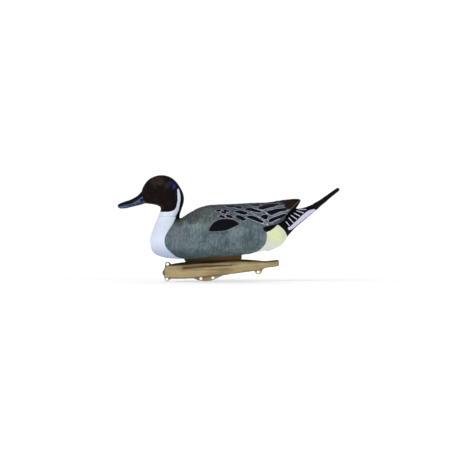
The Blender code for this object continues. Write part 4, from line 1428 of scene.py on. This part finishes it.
def repaint():
    """Better materials for the small fittings that the frame shows as they are."""
    seal, metal = rubber(), steel()
    looks = {
        "body_vent_plug": plug_plastic("plug_white", (206, 214, 206), (222, 228, 220)),
        "neck_gasket": seal,
        "keel_fill_plug": plug_plastic("plug_tan", (140, 120, 80), (168, 148, 106)),
        "front_screw_washer": seal,
        "rear_screw_washer": seal,
        "neck_snap_ring": nylon(),
        "front_keel_screw": metal,
        "rear_keel_screw": metal,
        "keel_ballast": sand(),
    }
    for name, material in looks.items():
        paint(frame["nodes"][name], material)


# Stage. Places and sizes are metres, and powers are watts

FLOOR_Z = -69  # millimetres, just under the lowest web
FLOOR_HALF = 9000
LIGHTS = {
    "key": ((-1.1, -1.6, 1.5), 0.9, 20),
    "fill": ((1.6, -1.4, 0.6), 1.4, 5),
    "rim": ((0.5, 1.8, 1.2), 1.2, 8),
}
LIT_POINT = (0.02, 0, 0.03)
PICTURE_MIDDLE = (0.0287, 0.03895)
PICTURE_WIDTH = 0.939  # what the picture's width spans at the decoy


def area_light(name, at, size, power):
    data = bpy.data.lights.new(name, "AREA")
    data.shape = "DISK"
    data.size = size
    data.energy = power
    light = bpy.data.objects.new(name, data)
    light.location = at
    light.rotation_mode = "QUATERNION"
    light.rotation_quaternion = (Vector(LIT_POINT) - Vector(at)).to_track_quat("-Z", "Y")
    bpy.context.scene.collection.objects.link(light)


def make_floor():
    """A pale floor that glows a little more the further away it is, so that it ends in white."""
    corners = [(x * FLOOR_HALF, y * FLOOR_HALF, FLOOR_Z) for x, y in ((-1, -1), (1, -1), (1, 1), (-1, 1))]
    floor = new_object("floor", corners, [[0, 1, 2, 3]])
    m = Paint("floor_white", 0.9, gloss=0.1)
    away = m.add("ShaderNodeVectorMath", [m.place], operation="LENGTH").outputs["Value"]
    m.shader.inputs["Emission Color"].default_value = (1, 1, 1, 1)
    m.feed(m.shader.inputs["Emission Strength"], m.span(away, 0.2, 2.5, 0.3, 0.7))
    paint(floor, m.done(m.mix(m.noise(3.0), (240, 240, 241), (243, 243, 244))))


def make_sky():
    """White all round, brightest at the horizon and below it."""
    world = bpy.data.worlds.new("studio")
    world.use_nodes = True
    sky, links = world.node_tree.nodes, world.node_tree.links
    direction = sky.new("ShaderNodeTexCoord").outputs["Generated"]
    split, fade = sky.new("ShaderNodeSeparateXYZ"), sky.new("ShaderNodeMapRange")
    links.new(direction, split.inputs[0])
    links.new(split.outputs["Z"], fade.inputs[0])
    for socket, value in zip(list(fade.inputs)[1:5], (0.1, 0.5, 1.02, 0.42)):
        socket.default_value = value
    links.new(fade.outputs[0], sky["Background"].inputs["Strength"])
    sky["Background"].inputs["Color"].default_value = (1, 1, 1, 1)
    bpy.context.scene.world = world
    bpy.context.scene.view_settings.view_transform = "Standard"


def make_camera():
    data = bpy.data.cameras.new("camera")
    data.sensor_width = 36
    data.lens = 200
    data.clip_end = 50
    camera = bpy.data.objects.new("camera", data)
    camera.location = (PICTURE_MIDDLE[0], -PICTURE_WIDTH * data.lens / data.sensor_width, PICTURE_MIDDLE[1])
    camera.rotation_euler = (math.pi / 2, 0, 0)
    bpy.context.scene.collection.objects.link(camera)
    bpy.context.scene.camera = camera


make_camera()
make_floor()
make_sky()
for light_name, light_settings in LIGHTS.items():
    area_light(light_name, *light_settings)
make_body()
make_head()
glass = eye_gloss()
for eye_name, eye_side in (("left_eye", -1), ("right_eye", 1)):
    make_eye(eye_name, eye_side, glass)
make_sprig()
make_keel()
repaint()
